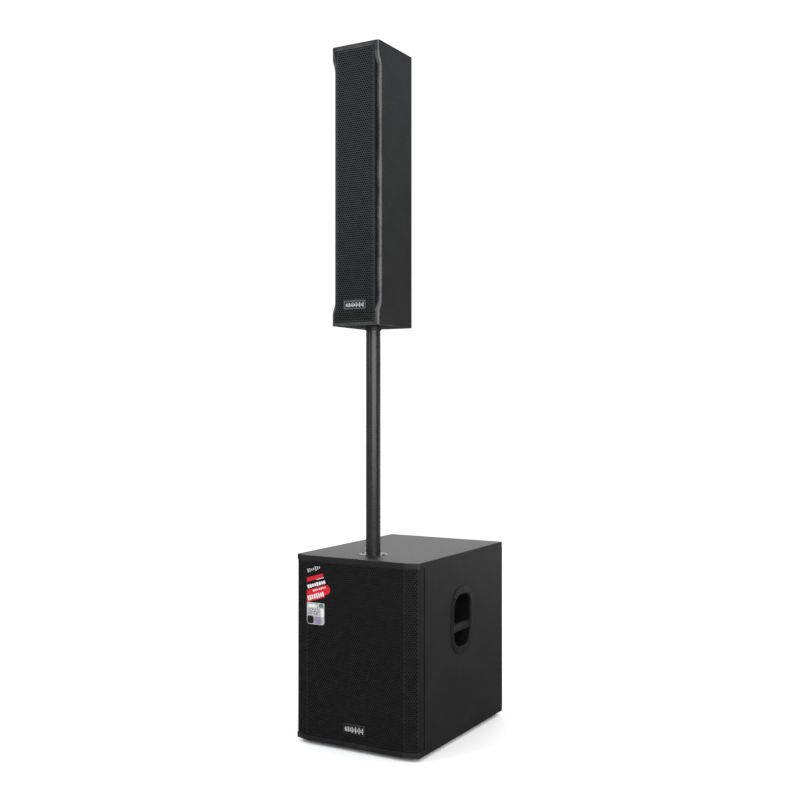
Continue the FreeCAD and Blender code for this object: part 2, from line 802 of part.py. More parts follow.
def lights():
    lamps = []
    for index, across in enumerate(LIGHTS, start=1):
        lamp = Piece(f"light_{index}", (across, PLATE_REAR, "row_knobs"), REARWARD, keep=False)
        lamp.turned([[("0", "-7"), ("2.5", "-7"), ("2.5", "0.3"), ("1.6", "1.4"), ("0", "1.8")]])
        lamps.append(lamp.body)
    group("status_lights", lamps)


def chassis_socket(name, at, turn, is_input=False):
    """Square-flanged round socket: an input with a jack hole, or an output with a centre post."""
    deep = "input_deep" if is_input else "output_deep"
    body = Piece(name, at, turn, keep=False)
    body.pad([circle("socket_hole - 0.3")], f"-{deep} - 4", "0")
    body.pad([rounded("flange_plate_width", "flange_plate_tall", "3")], "0", "flange_plate")
    outlines = [circle("input_opening")] if is_input else [circle("output_opening"), circle("output_post")]
    body.pocket(outlines, f"-{deep}", "flange_plate")
    if is_input:
        body.pocket([circle("jack_hole")], f"-{deep} - 3", "flange_plate")
    return body.body


def amp_sockets():
    """Two combination inputs, then two round loudspeaker outputs."""
    sockets = []
    for index, across in enumerate(SOCKETS):
        at = (across, PLATE_REAR, "row_sockets")
        is_input = index < 2
        name = f"input_{index + 1}" if is_input else f"output_{index - 1}"
        sockets.append(chassis_socket(name, at, REARWARD, is_input))
    group("amp_sockets", sockets)


def mains_inlet():
    """Module with the power rocker, the fuse drawer and the three-pin socket side by side."""
    at = ("inlet_across", PLATE_REAR, "row_inlet")
    module = Piece("mains_inlet", at, REARWARD)
    module.pad([rectangle("-inlet_half + 3.3", "inlet_half - 3.3", "-inlet_half_tall + 3.3",
                          "inlet_half_tall - 3.3")], "-26", "0")
    module.pad([rounded("inlet_half*2", "inlet_half_tall*2", "3")], "0", "2.6")
    # rocker well with its pin bores
    module.pocket([rectangle("-35", "-22", "-10.2", "10.2")], "-12.6", "2.6")
    module.pocket([circle("1.26", "0", "-2.4")], "-36.6", "-20.4", "YZ")
    # fuse drawer slot
    module.pocket([rectangle("-15", "-5", "-11", "11")], "-20", "2.6")
    # three-pin socket and its pins
    module.pocket([rounded("25", "17", "3", "18.5", "0")], "-16", "2.6")
    for across, up in (("18.5", "-3"), ("11.5", "2"), ("25.5", "2")):
        pin = plus(across, "-1.2"), plus(across, "1.2"), plus(up, "-2.4"), plus(up, "2.4")
        module.pad([rectangle(*pin)], "-16.5", "-3.6")
    rocker = Piece("power_rocker", ("inlet_across - 28.5", PLATE_REAR + " - 2.4", "row_inlet"),
                   REARWARD * Rotation(Vector(1, 0, 0), 9))
    rocker.pad([[
        ("-9.4", "0", "9.4", 1), ("0", "-9.4", "9.4", 1), ("9.4", "0"), ("8.6", "3.6"), ("0", "2.7"),
        ("-8.6", "3.6")]], "-6.2", "6.2", "YZ")
    rocker.pad([circle("1.2")], "-7.6", "7.6", "YZ")
    drawer = Piece("fuse_drawer", ("inlet_across - 10", PLATE_REAR, "row_inlet"), REARWARD)
    drawer.pad([rectangle("-4.7", "4.7", "-10.7", "10.7")], "-19.5", "3")
    drawer.pad([rounded("10.6", "23", "1.5")], "3", "5")


# ---------------------------------------------------------------- column cabinet


def ear_outline():
    """Side panel of the column seen from the side: ends forward, S-curves, set-back middle."""
    half = COL_FRONT + " + ear_step/2"
    full = COL_FRONT + " + ear_step"
    low, high = COL_LOW + " + ear_length", COL_HIGH + " - ear_length"
    return [
        (COL_REAR, COL_LOW),
        (COL_FRONT, COL_LOW),
        (COL_FRONT, low, "ear_radius", -1),
        (half, low + " + ear_curve/2", "ear_radius", 1),
        (full, low + " + ear_curve"),
        (full, high + " - ear_curve", "ear_radius", 1),
        (half, high + " - ear_curve/2", "ear_radius", -1),
        (COL_FRONT, high),
        (COL_FRONT, COL_HIGH),
        (COL_REAR, COL_HIGH),
    ]


def is_front(edge):
    """Edge of the side panel's front outline, straight or curved."""
    return edge.BoundBox.YMax < amount(COL_BAFFLE) and edge.BoundBox.XLength < 0.01


def is_end_or_rear(edge):
    """Straight top, bottom or rear edge of the side panel."""
    return edge.BoundBox.YLength > amount("ear_step*2") or edge.BoundBox.YMin > amount(COL_REAR) - 0.01


def is_front_lip(edge):
    """Front edge that runs across a top or bottom panel."""
    return edge.BoundBox.YMax < amount(COL_FRONT) + 0.01 and edge.BoundBox.XLength > amount("col_board")


def lies_across(edge, across):
    return abs(edge.CenterOfMass.x - across) < 0.01


def column_cabinet():
    for label, low, high in (("column_side_left", flipped(COL_SIDE), flipped(COL_INNER)),
                             ("column_side_right", COL_INNER, COL_SIDE)):
        outer = amount(low) if "left" in label else amount(high)
        side = Piece(label)
        side.pad([ear_outline()], low, high, "YZ")
        side.soften("col_edge_round", lambda edge: is_front(edge) and lies_across(edge, outer))
        side.soften("edge_round", lambda edge: lies_across(edge, outer) and is_end_or_rear(edge))
    across = rectangle(flipped(COL_INNER), COL_INNER, COL_FRONT, COL_REAR)
    roof = Piece("column_top_panel")
    roof.pad([across], COL_HIGH + " - col_board", COL_HIGH)
    roof.soften("edge_round", is_front_lip)
    socket = circle("pole_radius + pole_clear + socket_wall + 0.3", "0", POLE_Y)
    floor = Piece("column_bottom_panel")
    floor.pad([across, socket], COL_LOW, COL_LOW + " + col_floor")
    floor.soften("edge_round", is_front_lip)
    inside = rectangle(flipped(COL_INNER), COL_INNER, COL_LOW + " + col_floor", COL_HIGH + " - col_board")
    hole = rounded("connector_window", "connector_tall - 22", "3", "0", COL_LOW + " + connector_height")
    Piece("column_back_panel").pad([inside, hole], COL_REAR + " - col_board", COL_REAR, "XZ")
    holes = [circle("driver_cutout", "0", height) for height in driver_heights()]
    holes.append(rounded("horn_cutout*2", "horn_cutout*2", "4", "0", COL_LOW + " + driver_lift"))
    Piece("column_baffle").pad([inside] + holes, COL_BAFFLE, COL_BAFFLE + " + col_board", "XZ")


def driver_heights():
    return [f"{COL_LOW} + driver_lift {step}" for step in
            ("- driver_pitch*2", "- driver_pitch", "+ driver_pitch", "+ driver_pitch*2")]


def column_front():
    side = COL_INNER + " - col_grille_side"
    face = COL_FRONT + " + col_grille_recess"
    rear = face + " + col_return"
    sheet_in = " - col_grille_sheet"
    shell = [
        (side, face), (side, rear), (side + sheet_in, rear), (side + sheet_in, face + " + col_grille_sheet"),
        (flipped(side + sheet_in), face + " + col_grille_sheet"), (flipped(side + sheet_in), rear),
        (flipped(side), rear), (flipped(side), face)]
    low, high = COL_LOW + " + col_floor", COL_HIGH + " - col_board"
    Piece("column_grille").pad([shell], low + " + 1.5", high + " - 1.5")
    back = face + " + col_grille_sheet"
    foam = rectangle(flipped(side + " - 1.8"), side + " - 1.8", back, back + " + 5")
    Piece("column_grille_foam").pad([foam], low + " + 3", high + " - 3")
    badge("column_badge", "col_badge_width", "col_badge_tall", COL_LOW + " + col_badge_height", face)
    badge("sub_badge", "badge_width", "badge_tall", "foot_height + badge_height",
          FRONT + " + grille_recess")


def column_drivers():
    frames, surrounds = [], []
    for index, height in enumerate(driver_heights(), start=1):
        at = ("0", COL_BAFFLE, height)
        frame = Piece(f"frame_{index}", at, FORWARD, keep=False)
        frame.turned([[
            ("driver_cutout - 2", "0"), ("driver_rim", "0"), ("driver_rim", "3.5"), ("43.5", "3.5"),
            ("43.5", "0"), ("28", "-26"), ("14.6", "-26"), ("14.6", "-32"), ("24", "-32"),
            ("24", "-47"), ("8", "-47"), ("8", "-52"), ("30", "-52"), ("30", "-28"), ("44", "-1.5")]])
        frames.append(frame.body)
        roll = Piece(f"surround_{index}", at, FORWARD, keep=False)
        roll.turned([[
            ("35.5", "3.5"), ("37.6", "3.5", "3.2", -1), ("43.4", "3.5"), ("46", "3.5"), ("46", "4.4"),
            ("44.2", "4.4", "4.1", 1), ("36.6", "4.4"), ("35.5", "4.4")]])
        surrounds.append(roll.body)
        cone = Piece(f"mid_cone_{index}", at, FORWARD)
        cone.turned([[
            ("12.8", "-36"), ("13.8", "-36"), ("13.8", "-14"), ("35.4", "1.2"), ("37.2", "1.2"),
            ("37.2", "3.3"), ("34.6", "2.5"), ("16", "-11.2", "19.23", 1), ("1.5", "-4.6"),
            ("0", "-4.6"), ("0", "-5.6"), ("12.8", "-12.6")]])
    group("mid_driver_frames", frames)
    group("mid_surrounds", surrounds)


def horn():
    """Square horn mouth narrowing to a round throat, with its compression driver."""
    at = ("0", COL_BAFFLE, COL_LOW + " + driver_lift")
    flare = Piece("horn", at, FORWARD)
    flare.pad([rounded("horn_half*2", "horn_half*2", "6")], "0", "3.5")
    flare.pad([rounded("horn_cutout*2 - 1", "horn_cutout*2 - 1", "4")], "-12", "0")
    flare.pad([circle("30")], "-34", "-12")
    mouth = flare.sketch("XY", "3.5", [rounded("horn_half*2 - 18", "horn_half*2 - 34", "8")])
    throat = flare.sketch("XY", "-34", [rounded("24", "24", "11.5")])
    bell = flare.body.newObject("PartDesign::SubtractiveLoft", "horn_bell")
    bell.Profile = mouth
    bell.Sections = [throat]
    Piece("compression_driver", at, FORWARD).turned([[
        ("12.7", "-38"), ("12.7", "-34"), ("28", "-34"), ("36", "-40"), ("36", "-62"), ("32", "-66"),
        ("0", "-66"), ("0", "-38")]])


def column_electrics():
    height = COL_LOW + " + connector_height"
    plate = Piece("connector_plate", ("0", COL_REAR, height), REARWARD)
    sockets = ("-connector_pitch/2", "connector_pitch/2")
    holes = [circle("socket_hole", across, "0") for across in sockets]
    holes += [circle("screw_hole", x, y) for x, y in corners("connector_width/2 - 6", "connector_tall/2 - 6")]
    plate.pad([rounded("connector_width", "connector_tall", "4")] + holes, "0", "connector_sheet")
    rear = COL_REAR + " + connector_sheet"
    group("connector_sockets", [
        chassis_socket(f"column_input_{index}", (across, rear, height), REARWARD)
        for index, across in enumerate(sockets, start=1)])
    board = Piece("crossover_board")
    face = COL_REAR + " - col_board - board_sheet"
    low = COL_HIGH + " - filter_drop"
    board.pad([rectangle("-filter_half", "filter_half", low, low + " + filter_tall")], face,
              face + " + board_sheet", "XZ")
    for x, z, radius in (("-22", " + 22", "15"), ("20", " + 24", "12"), ("-20", " + 62", "9"),
                         ("4", " + 60", "9"), ("24", " + 86", "8"), ("-12", " + 90", "8")):
        board.pad([circle(radius, x, low + z)], face + " - 20", face, "XZ")


# ---------------------------------------------------------------- fasteners of the cabinet


def cabinet_screws():
    heads = []
    rise = "foot_height + handle_height"
    for side, turn in ((SIDE, RIGHTWARD), (flipped(SIDE), LEFTWARD)):
        out = plus(side, "flange_thick" if turn is RIGHTWARD else "-flange_thick")
        for x, y in FLANGE_SCREWS:
            at = (out, plus(CORNER + " + handle_back", x), plus(rise, y))
            heads.append(screw(f"handle_screw_{len(heads) + 1}", at, turn))
    for x, z in plate_screw_points():
        heads.append(screw(f"plate_screw_{len(heads) + 1}", (x, PLATE_REAR, z), REARWARD))
    ends = ("socket_bolts", "-socket_bolts")
    for x, y in [(end, "0") for end in ends] + [("0", end) for end in ends]:
        at = (x, plus(POLE_Y, y), ROOF_TOP + " + socket_proud")
        heads.append(screw(f"socket_screw_{len(heads) + 1}", at, UPRIGHT))
    group("cabinet_screws", heads)


# ---------------------------------------------------------------- make, test and write


def build():
    sub_plates()
    side_panels()
    inner_panels()
    sub_grille()
    feet()
    handle("handle_right", SIDE, RIGHTWARD)
    handle("handle_left", flipped(SIDE), LEFTWARD)
    woofer()
    woofer_fixings()
    port_tubes()
    pole_and_sockets()
    amp_plate()
    amp_inside()
    knobs()
    button()
    lights()
    amp_sockets()
    mains_inlet()
    column_cabinet()
    column_front()
    column_drivers()
    horn()
    column_electrics()
    cabinet_screws()


def refuse_faults():
    """Stop before anything is written if an object failed or a shape is unsound."""
    doc.recompute()
    faults = [thing.Name for thing in doc.Objects if {"Invalid", "Error"} & set(thing.State)]
    for label, thing in nodes.items():
        if thing.Shape.isNull() or not thing.Shape.isValid() or not thing.Shape.Solids:
            faults.append(label)
    if faults:
        raise RuntimeError("unsound: " + ", ".join(faults))


def write():
    os.makedirs("parts", exist_ok=True)
    for label, thing in nodes.items():
        thing.Shape.exportStep(f"parts/{label}.step")
        box_size = thing.Shape.BoundBox
        print(f"{label}: {len(thing.Shape.Solids)} solid(s), {thing.Shape.Volume / 1000:.1f} cm3, "
              f"x {box_size.XMin:.1f}..{box_size.XMax:.1f} y {box_size.YMin:.1f}..{box_size.YMax:.1f} "
              f"z {box_size.ZMin:.1f}..{box_size.ZMax:.1f}")
    print(len(nodes), "nodes")


build()
refuse_faults()
write()
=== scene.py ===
"""Looks of a powered subwoofer with a column loudspeaker on a pole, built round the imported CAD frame.

Metres, +Z up, front towards -Y, like the frame. Local shapes are drawn as (across, up, out) and then set in
place.
"""

import json
import math

import bmesh
import bpy
from mathutils import Matrix, Vector, noise


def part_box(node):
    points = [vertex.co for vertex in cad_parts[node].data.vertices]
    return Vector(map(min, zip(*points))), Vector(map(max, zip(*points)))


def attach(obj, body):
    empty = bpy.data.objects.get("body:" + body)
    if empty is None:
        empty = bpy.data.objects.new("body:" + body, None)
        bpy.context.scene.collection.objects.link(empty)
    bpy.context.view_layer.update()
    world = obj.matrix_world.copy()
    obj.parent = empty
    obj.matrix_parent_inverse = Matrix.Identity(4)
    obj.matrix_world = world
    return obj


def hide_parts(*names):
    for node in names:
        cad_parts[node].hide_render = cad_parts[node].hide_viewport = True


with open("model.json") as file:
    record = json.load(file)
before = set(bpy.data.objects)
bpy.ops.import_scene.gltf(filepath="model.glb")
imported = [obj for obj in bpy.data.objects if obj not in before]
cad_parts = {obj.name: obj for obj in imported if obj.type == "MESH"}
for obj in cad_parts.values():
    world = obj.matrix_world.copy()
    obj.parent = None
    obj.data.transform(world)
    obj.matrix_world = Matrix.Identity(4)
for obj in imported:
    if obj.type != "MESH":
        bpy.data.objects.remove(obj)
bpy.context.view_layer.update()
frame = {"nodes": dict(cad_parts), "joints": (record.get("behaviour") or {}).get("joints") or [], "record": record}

scene = bpy.context.scene
MM = 0.001
QUARTER = math.pi / 2


# ---------------------------------------------------------------- camera, light and floor

CAMERA_AT = (1.483, -2.597, 0.892)
CAMERA_TURN = (90.23, 0, 29.88)
CAMERA_LENS = 48.8
CAMERA_SHIFT = -0.0011


def make_camera():
    data = bpy.data.cameras.new("camera")
    data.lens = CAMERA_LENS
    data.shift_y = CAMERA_SHIFT
    camera = bpy.data.objects.new("camera", data)
    camera.location = CAMERA_AT
    camera.rotation_euler = [math.radians(angle) for angle in CAMERA_TURN]
    scene.collection.objects.link(camera)
    scene.camera = camera


def softbox(name, at, target, width, tall, power, tint=(1, 1, 1)):
    """Rectangular area light at a point, turned to face another."""
    data = bpy.data.lights.new(name, "AREA")
    data.shape = "RECTANGLE"
    data.size, data.size_y = width, tall
    data.energy = power
    data.color = tint
    lamp = bpy.data.objects.new(name, data)
    lamp.location = at
    lamp.rotation_euler = (Vector(target) - Vector(at)).to_track_quat("-Z", "Y").to_euler()
    scene.collection.objects.link(lamp)


ROOM_LIGHT = 1.05
GLOSS_LIGHT = 0.3


def make_world():
    """White room light, dimmer in reflections, so that dark paint keeps its shading."""
    world = bpy.data.worlds.new("studio")
    world.use_nodes = True
    nodes, links = world.node_tree.nodes, world.node_tree.links
    strength = nodes.new("ShaderNodeMapRange")
    strength.inputs["To Min"].default_value = ROOM_LIGHT
    strength.inputs["To Max"].default_value = GLOSS_LIGHT
    links.new(nodes.new("ShaderNodeLightPath").outputs["Is Glossy Ray"], strength.inputs["Value"])
    sky = nodes["Background"]
    sky.inputs["Color"].default_value = (1, 1, 1, 1)
    links.new(strength.outputs["Result"], sky.inputs["Strength"])
    world.cycles.sampling_method = "NONE"
    scene.world = world


def make_light():
    make_world()
    softbox("key", (2.1, -2.3, 1.6), (0, 0, 1.4), 3.8, 2.1, 86)
    softbox("fill", (-1.4, -2.4, 2.2), (0, 0, 1.5), 1.0, 1.5, 24, (0.88, 0.94, 1))
    softbox("top_back", (-1.3, 3.0, 1.9), (0, 0, 0.5), 3.0, 1.4, 37)
    softbox("rear_high", (1.9, 3.2, 3.0), (0.07, -0.1, 1.7), 1.0, 1.0, 7.5, (0.88, 0.95, 1))
    softbox("rear_side", (1.25, 2.7, 0.5), (0.18, 0.1, 0.3), 0.9, 0.7, 4.5)
    scene.view_settings.view_transform = "Standard"
    scene.view_settings.look = "None"


FLOOR_RADIUS = 40


def make_floor():
    """Large pale disc under the object, dark in reflections."""
    mesh = bpy.data.meshes.new("floor")
    form = bmesh.new()
    bmesh.ops.create_circle(form, cap_ends=True, segments=96, radius=FLOOR_RADIUS)
    form.to_mesh(mesh)
    form.free()
    surface = Surface("floor_paint", Roughness=0.7, Specular_IOR_Level=0.0)
    reflected = surface.node("LightPath").outputs["Is Glossy Ray"]
    surface.colour(surface.maths("MULTIPLY_ADD", surface.noise(3, 4), 0.1, reflected),
                   [(0.0, grey(0.985)), (0.1, grey(0.965)), (1.0, grey(0.15))])
    mesh.materials.append(surface.material)
    floor = bpy.data.objects.new("floor", mesh)
    scene.collection.objects.link(floor)


# ---------------------------------------------------------------- surfaces

EDGE_GAIN = 3.4
RAMP_LOW, RAMP_HIGH = 0.35, 0.65


class Surface:
    """A Principled surface whose colour, roughness and relief come from textures fixed to the piece."""

    def __init__(self, name, **uniform):
        self.material = bpy.data.materials.new(name)
        self.material.use_nodes = True
        self.tree = self.material.node_tree
        self.shader = self.tree.nodes["Principled BSDF"]
        for socket, value in uniform.items():
            self.shader.inputs[socket.replace("_", " ")].default_value = value
        self.place = self.tree.nodes.new("ShaderNodeTexCoord").outputs["Object"]
        self.normal = None

    def node(self, kind, inputs=(), **settings):
        """Node with sockets given as (name or number, value or link) pairs."""
        made = self.tree.nodes.new("ShaderNode" + kind)
        for name, value in settings.items():
            setattr(made, name, value)
        for socket, value in inputs:
            if isinstance(value, bpy.types.NodeSocket):
                self.tree.links.new(value, made.inputs[socket])
            else:
                made.inputs[socket].default_value = value
        return made

    def stretched(self, stretch):
        return self.node("Mapping", [("Vector", self.place), ("Scale", stretch)]).outputs["Vector"]

    def noise(self, scale, detail=2, stretch=(1, 1, 1)):
        made = self.node("TexNoise", [("Vector", self.stretched(stretch)), ("Scale", scale),
                                      ("Detail", detail)])
        return made.outputs["Fac"]

    def cells(self, scale, feature="F1", stretch=(1, 1, 1)):
        made = self.node("TexVoronoi", [("Vector", self.stretched(stretch)), ("Scale", scale)],
                         feature=feature)
        return made.outputs["Distance"]

    def waves(self, scale, direction, distortion):
        made = self.node("TexWave", [("Vector", self.place), ("Scale", scale), ("Distortion", distortion)],
                         bands_direction=direction)
        return made.outputs["Fac"]

    def maths(self, operation, *values):
        return self.node("Math", list(enumerate(values)), operation=operation).outputs["Value"]

    def ramp(self, value, stops):
        made = self.node("ValToRGB", [("Fac", value)])
        elements = made.color_ramp.elements
        while len(elements) < len(stops):
            elements.new(0.5)
        for element, (place, colour) in zip(elements, stops):
            element.position = place
            element.color = (*colour, 1)
        return made.outputs["Color"]

    def facing(self):
        """Parts of the piece's own surface normal along X, Y and Z."""
        normal = self.tree.nodes["Texture Coordinate"].outputs["Normal"]
        split = self.node("SeparateXYZ", [("Vector", normal)])
        return [split.outputs[letter] for letter in "XYZ"]

    def edges(self):
        """Nought on faces square to the axes, rising to about one at the middle of a rounded edge."""
        sizes = [self.maths("ABSOLUTE", part) for part in self.facing()]
        largest = self.maths("MAXIMUM", self.maths("MAXIMUM", sizes[0], sizes[1]), sizes[2])
        return self.maths("MULTIPLY", self.maths("SUBTRACT", 1.0, largest), EDGE_GAIN)

    def colour(self, value, stops):
        self.tree.links.new(self.ramp(value, stops), self.shader.inputs["Base Color"])

    def roughness(self, value, low, high):
        made = self.node("MapRange", [("Value", value), ("To Min", low), ("To Max", high)])
        self.tree.links.new(made.outputs["Result"], self.shader.inputs["Roughness"])

    def relief(self, height, depth, strength=1.0):
        """Bump of a real depth, on top of any relief already given."""
        made = self.node("Bump", [("Height", height), ("Distance", depth), ("Strength", strength)])
        if self.normal:
            self.tree.links.new(self.normal, made.inputs["Normal"])
        self.normal = made.outputs["Normal"]
        self.tree.links.new(self.normal, self.shader.inputs["Normal"])


def grey(level):
    return (level, level, level)


def between(low, high):
    """Two stops of a ramp between two greys or colours, over the middle of a noise's range."""
    stops = [colour if isinstance(colour, tuple) else grey(colour) for colour in (low, high)]
    return [(RAMP_LOW, stops[0]), (RAMP_HIGH, stops[1])]


# How much paler the column's forward-facing paint is made: a painted highlight.
COLUMN_FRONT_HIGHLIGHT = 0.22


def cabinet_paint(name="cabinet_paint", front_highlight=0.0):
    """Tough spattered paint: small raised beads over a slow unevenness, glossier along rounded edges and paler
    there, partly edge wear and partly a painted highlight.

    Surfaces that look forwards may be painted paler, as a painted highlight.
    """
    surface = Surface(name, Specular_IOR_Level=0.34)
    beads = surface.cells(620, "SMOOTH_F1")
    slow = surface.noise(14, 3)
    edges = surface.edges()
    tone = surface.maths("MULTIPLY_ADD", slow, 0.6, surface.maths("MULTIPLY", beads, 0.45))
    # Paler along rounded edges: partly edge wear, partly a painted highlight.
    worn_and_highlit = surface.maths("MULTIPLY", edges, surface.maths("MULTIPLY_ADD", surface.noise(70, 4), 0.4, 0.3))
    if front_highlight:
        # Forward-facing surfaces painted paler: a painted highlight.
        front = surface.maths("MAXIMUM", surface.maths("MULTIPLY", surface.facing()[1], -front_highlight), 0.0)
        worn_and_highlit = surface.maths("ADD", worn_and_highlit, front)
    # The last stop, grey 0.08, is the pale tone of the edges and forward faces: a painted highlight, partly wear
    # on the edges.
    surface.colour(surface.maths("ADD", tone, worn_and_highlit), [*between(0.005, 0.009), (1.0, grey(0.08))])
    uneven = surface.noise(300, 2)
    surface.roughness(surface.maths("SUBTRACT", uneven, surface.maths("MULTIPLY", edges, 0.9)), 0.46, 0.6)
    surface.relief(beads, 0.35 * MM, 0.7)
    surface.relief(surface.noise(900, 2), 0.15 * MM, 0.5)
    return surface.material


def powder_coat():
    """Fine powder coat on perforated steel."""
    surface = Surface("grille_steel", Specular_IOR_Level=0.22)
    surface.colour(surface.noise(60, 3), between(0.006, 0.009))
    surface.roughness(surface.noise(700, 2), 0.38, 0.5)
    surface.relief(surface.noise(2200, 2), 0.05 * MM, 0.6)
    return surface.material


def open_foam():
    """Black open-cell foam, painted darker in its pores as painted shade."""
    surface = Surface("foam", Specular_IOR_Level=0.06)
    pores = surface.cells(900)
    # Darker in the pores: painted shade.
    surface.colour(pores, [(0.15, grey(0.001)), (0.6, grey(0.004))])
    surface.roughness(pores, 0.85, 1.0)
    surface.relief(pores, 0.6 * MM)
    return surface.material


def moulded(name, dark=0.011, light=0.018, rough=(0.4, 0.5), grain=1100, specular=0.5):
    """Moulded plastic with a fine leather-like grain."""
    surface = Surface(name, Specular_IOR_Level=specular)
    surface.colour(surface.noise(35, 3), between(dark, light))
    surface.roughness(surface.noise(grain / 2, 2), *rough)
    surface.relief(surface.cells(grain, "SMOOTH_F1"), 0.06 * MM, 0.6)
    return surface.material


def rubber():
    """Soft black rubber, matt and slightly grained."""
    surface = Surface("rubber", Specular_IOR_Level=0.3)
    surface.colour(surface.noise(80, 4), between(0.008, 0.016))
    surface.roughness(surface.noise(250, 3), 0.7, 0.9)
    surface.relief(surface.noise(1400, 3), 0.1 * MM, 0.6)
    return surface.material


def enamel(name, rough=(0.24, 0.3), specular=0.56):
    """Smooth black paint on steel, with a slight orange peel."""
    surface = Surface(name, Specular_IOR_Level=specular)
    surface.colour(surface.noise(30, 2), between(0.011, 0.014))
    surface.roughness(surface.noise(120, 2), *rough)
    surface.relief(surface.noise(140, 1), 0.006 * MM, 0.2)
    return surface.material


def metal(name, dark, light, rough, brushed=(1, 1, 1), grain=700):
    """Plated or bare metal; brushed gives the stretch of its scratches."""
    surface = Surface(name, Metallic=1.0)
    scratches = surface.noise(grain, 3, brushed)
    surface.colour(surface.noise(50, 3), between(dark, light))
    surface.roughness(scratches, *rough)
    surface.relief(scratches, 0.03 * MM, 0.5)
    return surface.material


def winding(name, dark, light, turns, metallic):
    """Wire or tape wound in close turns along Y."""
    surface = Surface(name, Metallic=metallic)
    turns_seen = surface.waves(turns, "Y", 0.3)
    surface.colour(turns_seen, between(dark, light))
    surface.roughness(surface.noise(200, 2), 0.3, 0.45)
    surface.relief(turns_seen, 0.15 * MM)
    return surface.material


def pulp():
    """Pressed paper with fibres."""
    surface = Surface("cone_paper", Specular_IOR_Level=0.25)
    fibres = surface.noise(500, 5, (1, 0.3, 1))
    surface.colour(fibres, between(0.016, 0.034))
    surface.roughness(fibres, 0.7, 0.9)
    surface.relief(fibres, 0.15 * MM)
    return surface.material


def doped_cloth():
    """Woven cloth, its threads crossing at right angles."""
    surface = Surface("suspension_cloth", Specular_IOR_Level=0.35)
    weave = surface.maths("MAXIMUM", surface.waves(420, "X", 0.4), surface.waves(420, "Z", 0.4))
    surface.colour(weave, [(0.2, (0.01, 0.01, 0.01)), (0.8, (0.03, 0.029, 0.027))])
    surface.roughness(weave, 0.55, 0.8)
    surface.relief(weave, 0.15 * MM)
    return surface.material


def ferrite():
    """Sintered magnet, dull and speckled."""
    surface = Surface("ferrite", Specular_IOR_Level=0.35)
    grains = surface.cells(1300)
    surface.colour(grains, between(0.018, 0.045))
    surface.roughness(grains, 0.5, 0.75)
    surface.relief(grains, 0.1 * MM)
    return surface.material


def circuit():
    """Green solder mask with tracks over the copper."""
    surface = Surface("circuit", Specular_IOR_Level=0.5)
    tracks = surface.maths("GREATER_THAN", surface.waves(55, "X", 6), 0.72)
    surface.colour(surface.maths("MULTIPLY_ADD", tracks, 0.5, surface.noise(30, 2)),
                   [(0.3, (0.006, 0.05, 0.018)), (1.0, (0.02, 0.13, 0.05))])
    surface.roughness(surface.noise(120, 2), 0.3, 0.45)
    surface.relief(tracks, 0.05 * MM)
    return surface.material


def anodised():
    """Black anodised extrusion with fine draw lines."""
    surface = Surface("heat_sink", Metallic=0.85)
    lines = surface.noise(900, 3, (1, 1, 0.02))
    surface.colour(surface.noise(30, 2), between(0.014, 0.026))
    surface.roughness(lines, 0.34, 0.5)
    surface.relief(lines, 0.04 * MM, 0.6)
    return surface.material


def lamp_lens():
    """Clear green plastic of an indicator light."""
    surface = Surface("light_lens", Specular_IOR_Level=0.6, Transmission_Weight=0.35)
    surface.colour(surface.noise(400, 2), between((0.02, 0.22, 0.05), (0.04, 0.34, 0.08)))
    surface.roughness(surface.noise(300, 2), 0.12, 0.25)
    return surface.material


def printed(name, dark, light, rough=(0.4, 0.55)):
    """Thin screen-printed or vinyl layer."""
    surface = Surface(name, Specular_IOR_Level=0.2)
    surface.colour(surface.noise(160, 3), between(dark, light))
    surface.roughness(surface.noise(240, 2), *rough)
    surface.relief(surface.noise(1200, 2), 0.02 * MM, 0.4)
    return surface.material


FINISHES = {
    "cabinet_paint": cabinet_paint(),
    "grille_steel": powder_coat(),
    "foam": open_foam(),
    "badge": metal("badge", 0.15, 0.21, (0.28, 0.4), (1, 1, 0.04)),
    "rubber": rubber(),
    "handle_plastic": moulded("handle_plastic", 0.004, 0.007, (0.5, 0.62), specular=0.3),
    "screw_black": metal("screw_black", 0.05, 0.09, (0.32, 0.45)),
    "basket_paint": moulded("basket_paint", 0.012, 0.02, (0.35, 0.45), 1500),
    "ferrite": ferrite(),
    "motor_steel": metal("motor_steel", 0.42, 0.55, (0.3, 0.45)),
    "cone_paper": pulp(),
    "suspension_cloth": doped_cloth(),
    "copper": winding("copper", (0.55, 0.24, 0.12), (0.8, 0.38, 0.2), 900, 1.0),
    "amp_paint": moulded("amp_paint", 0.010, 0.016, (0.42, 0.52), 1600),
    "heat_sink": anodised(),
    "housing_steel": metal("housing_steel", 0.4, 0.56, (0.32, 0.5), grain=90),
    "circuit": circuit(),
    "transformer": winding("transformer", (0.5, 0.32, 0.04), (0.68, 0.45, 0.08), 160, 0.0),
    "socket_plastic": moulded("socket_plastic", 0.012, 0.02, (0.28, 0.38), 1800),
    "knob_plastic": moulded("knob_plastic", 0.014, 0.022, (0.36, 0.46), 1500),
    "rocker_plastic": moulded("rocker_plastic", 0.014, 0.02, (0.2, 0.3), 2000),
    "light_lens": lamp_lens(),
    "pole_paint": enamel("pole_paint"),
    "socket_metal": enamel("socket_metal", (0.32, 0.42), 0.45),
}
WHITE_PRINT = printed("white_print", 0.42, 0.5)
RED_PRINT = printed("red_print", (0.34, 0.004, 0.012), (0.44, 0.008, 0.018))
GREY_PRINT = printed("grey_print", (0.13, 0.11, 0.17), (0.19, 0.16, 0.23))
DARK_PRINT = printed("dark_print", 0.006, 0.012, (0.3, 0.4))
MARK_PRINT = printed("mark_print", 0.3, 0.38)
PALE_PRINT = printed("pale_print", 0.22, 0.31)
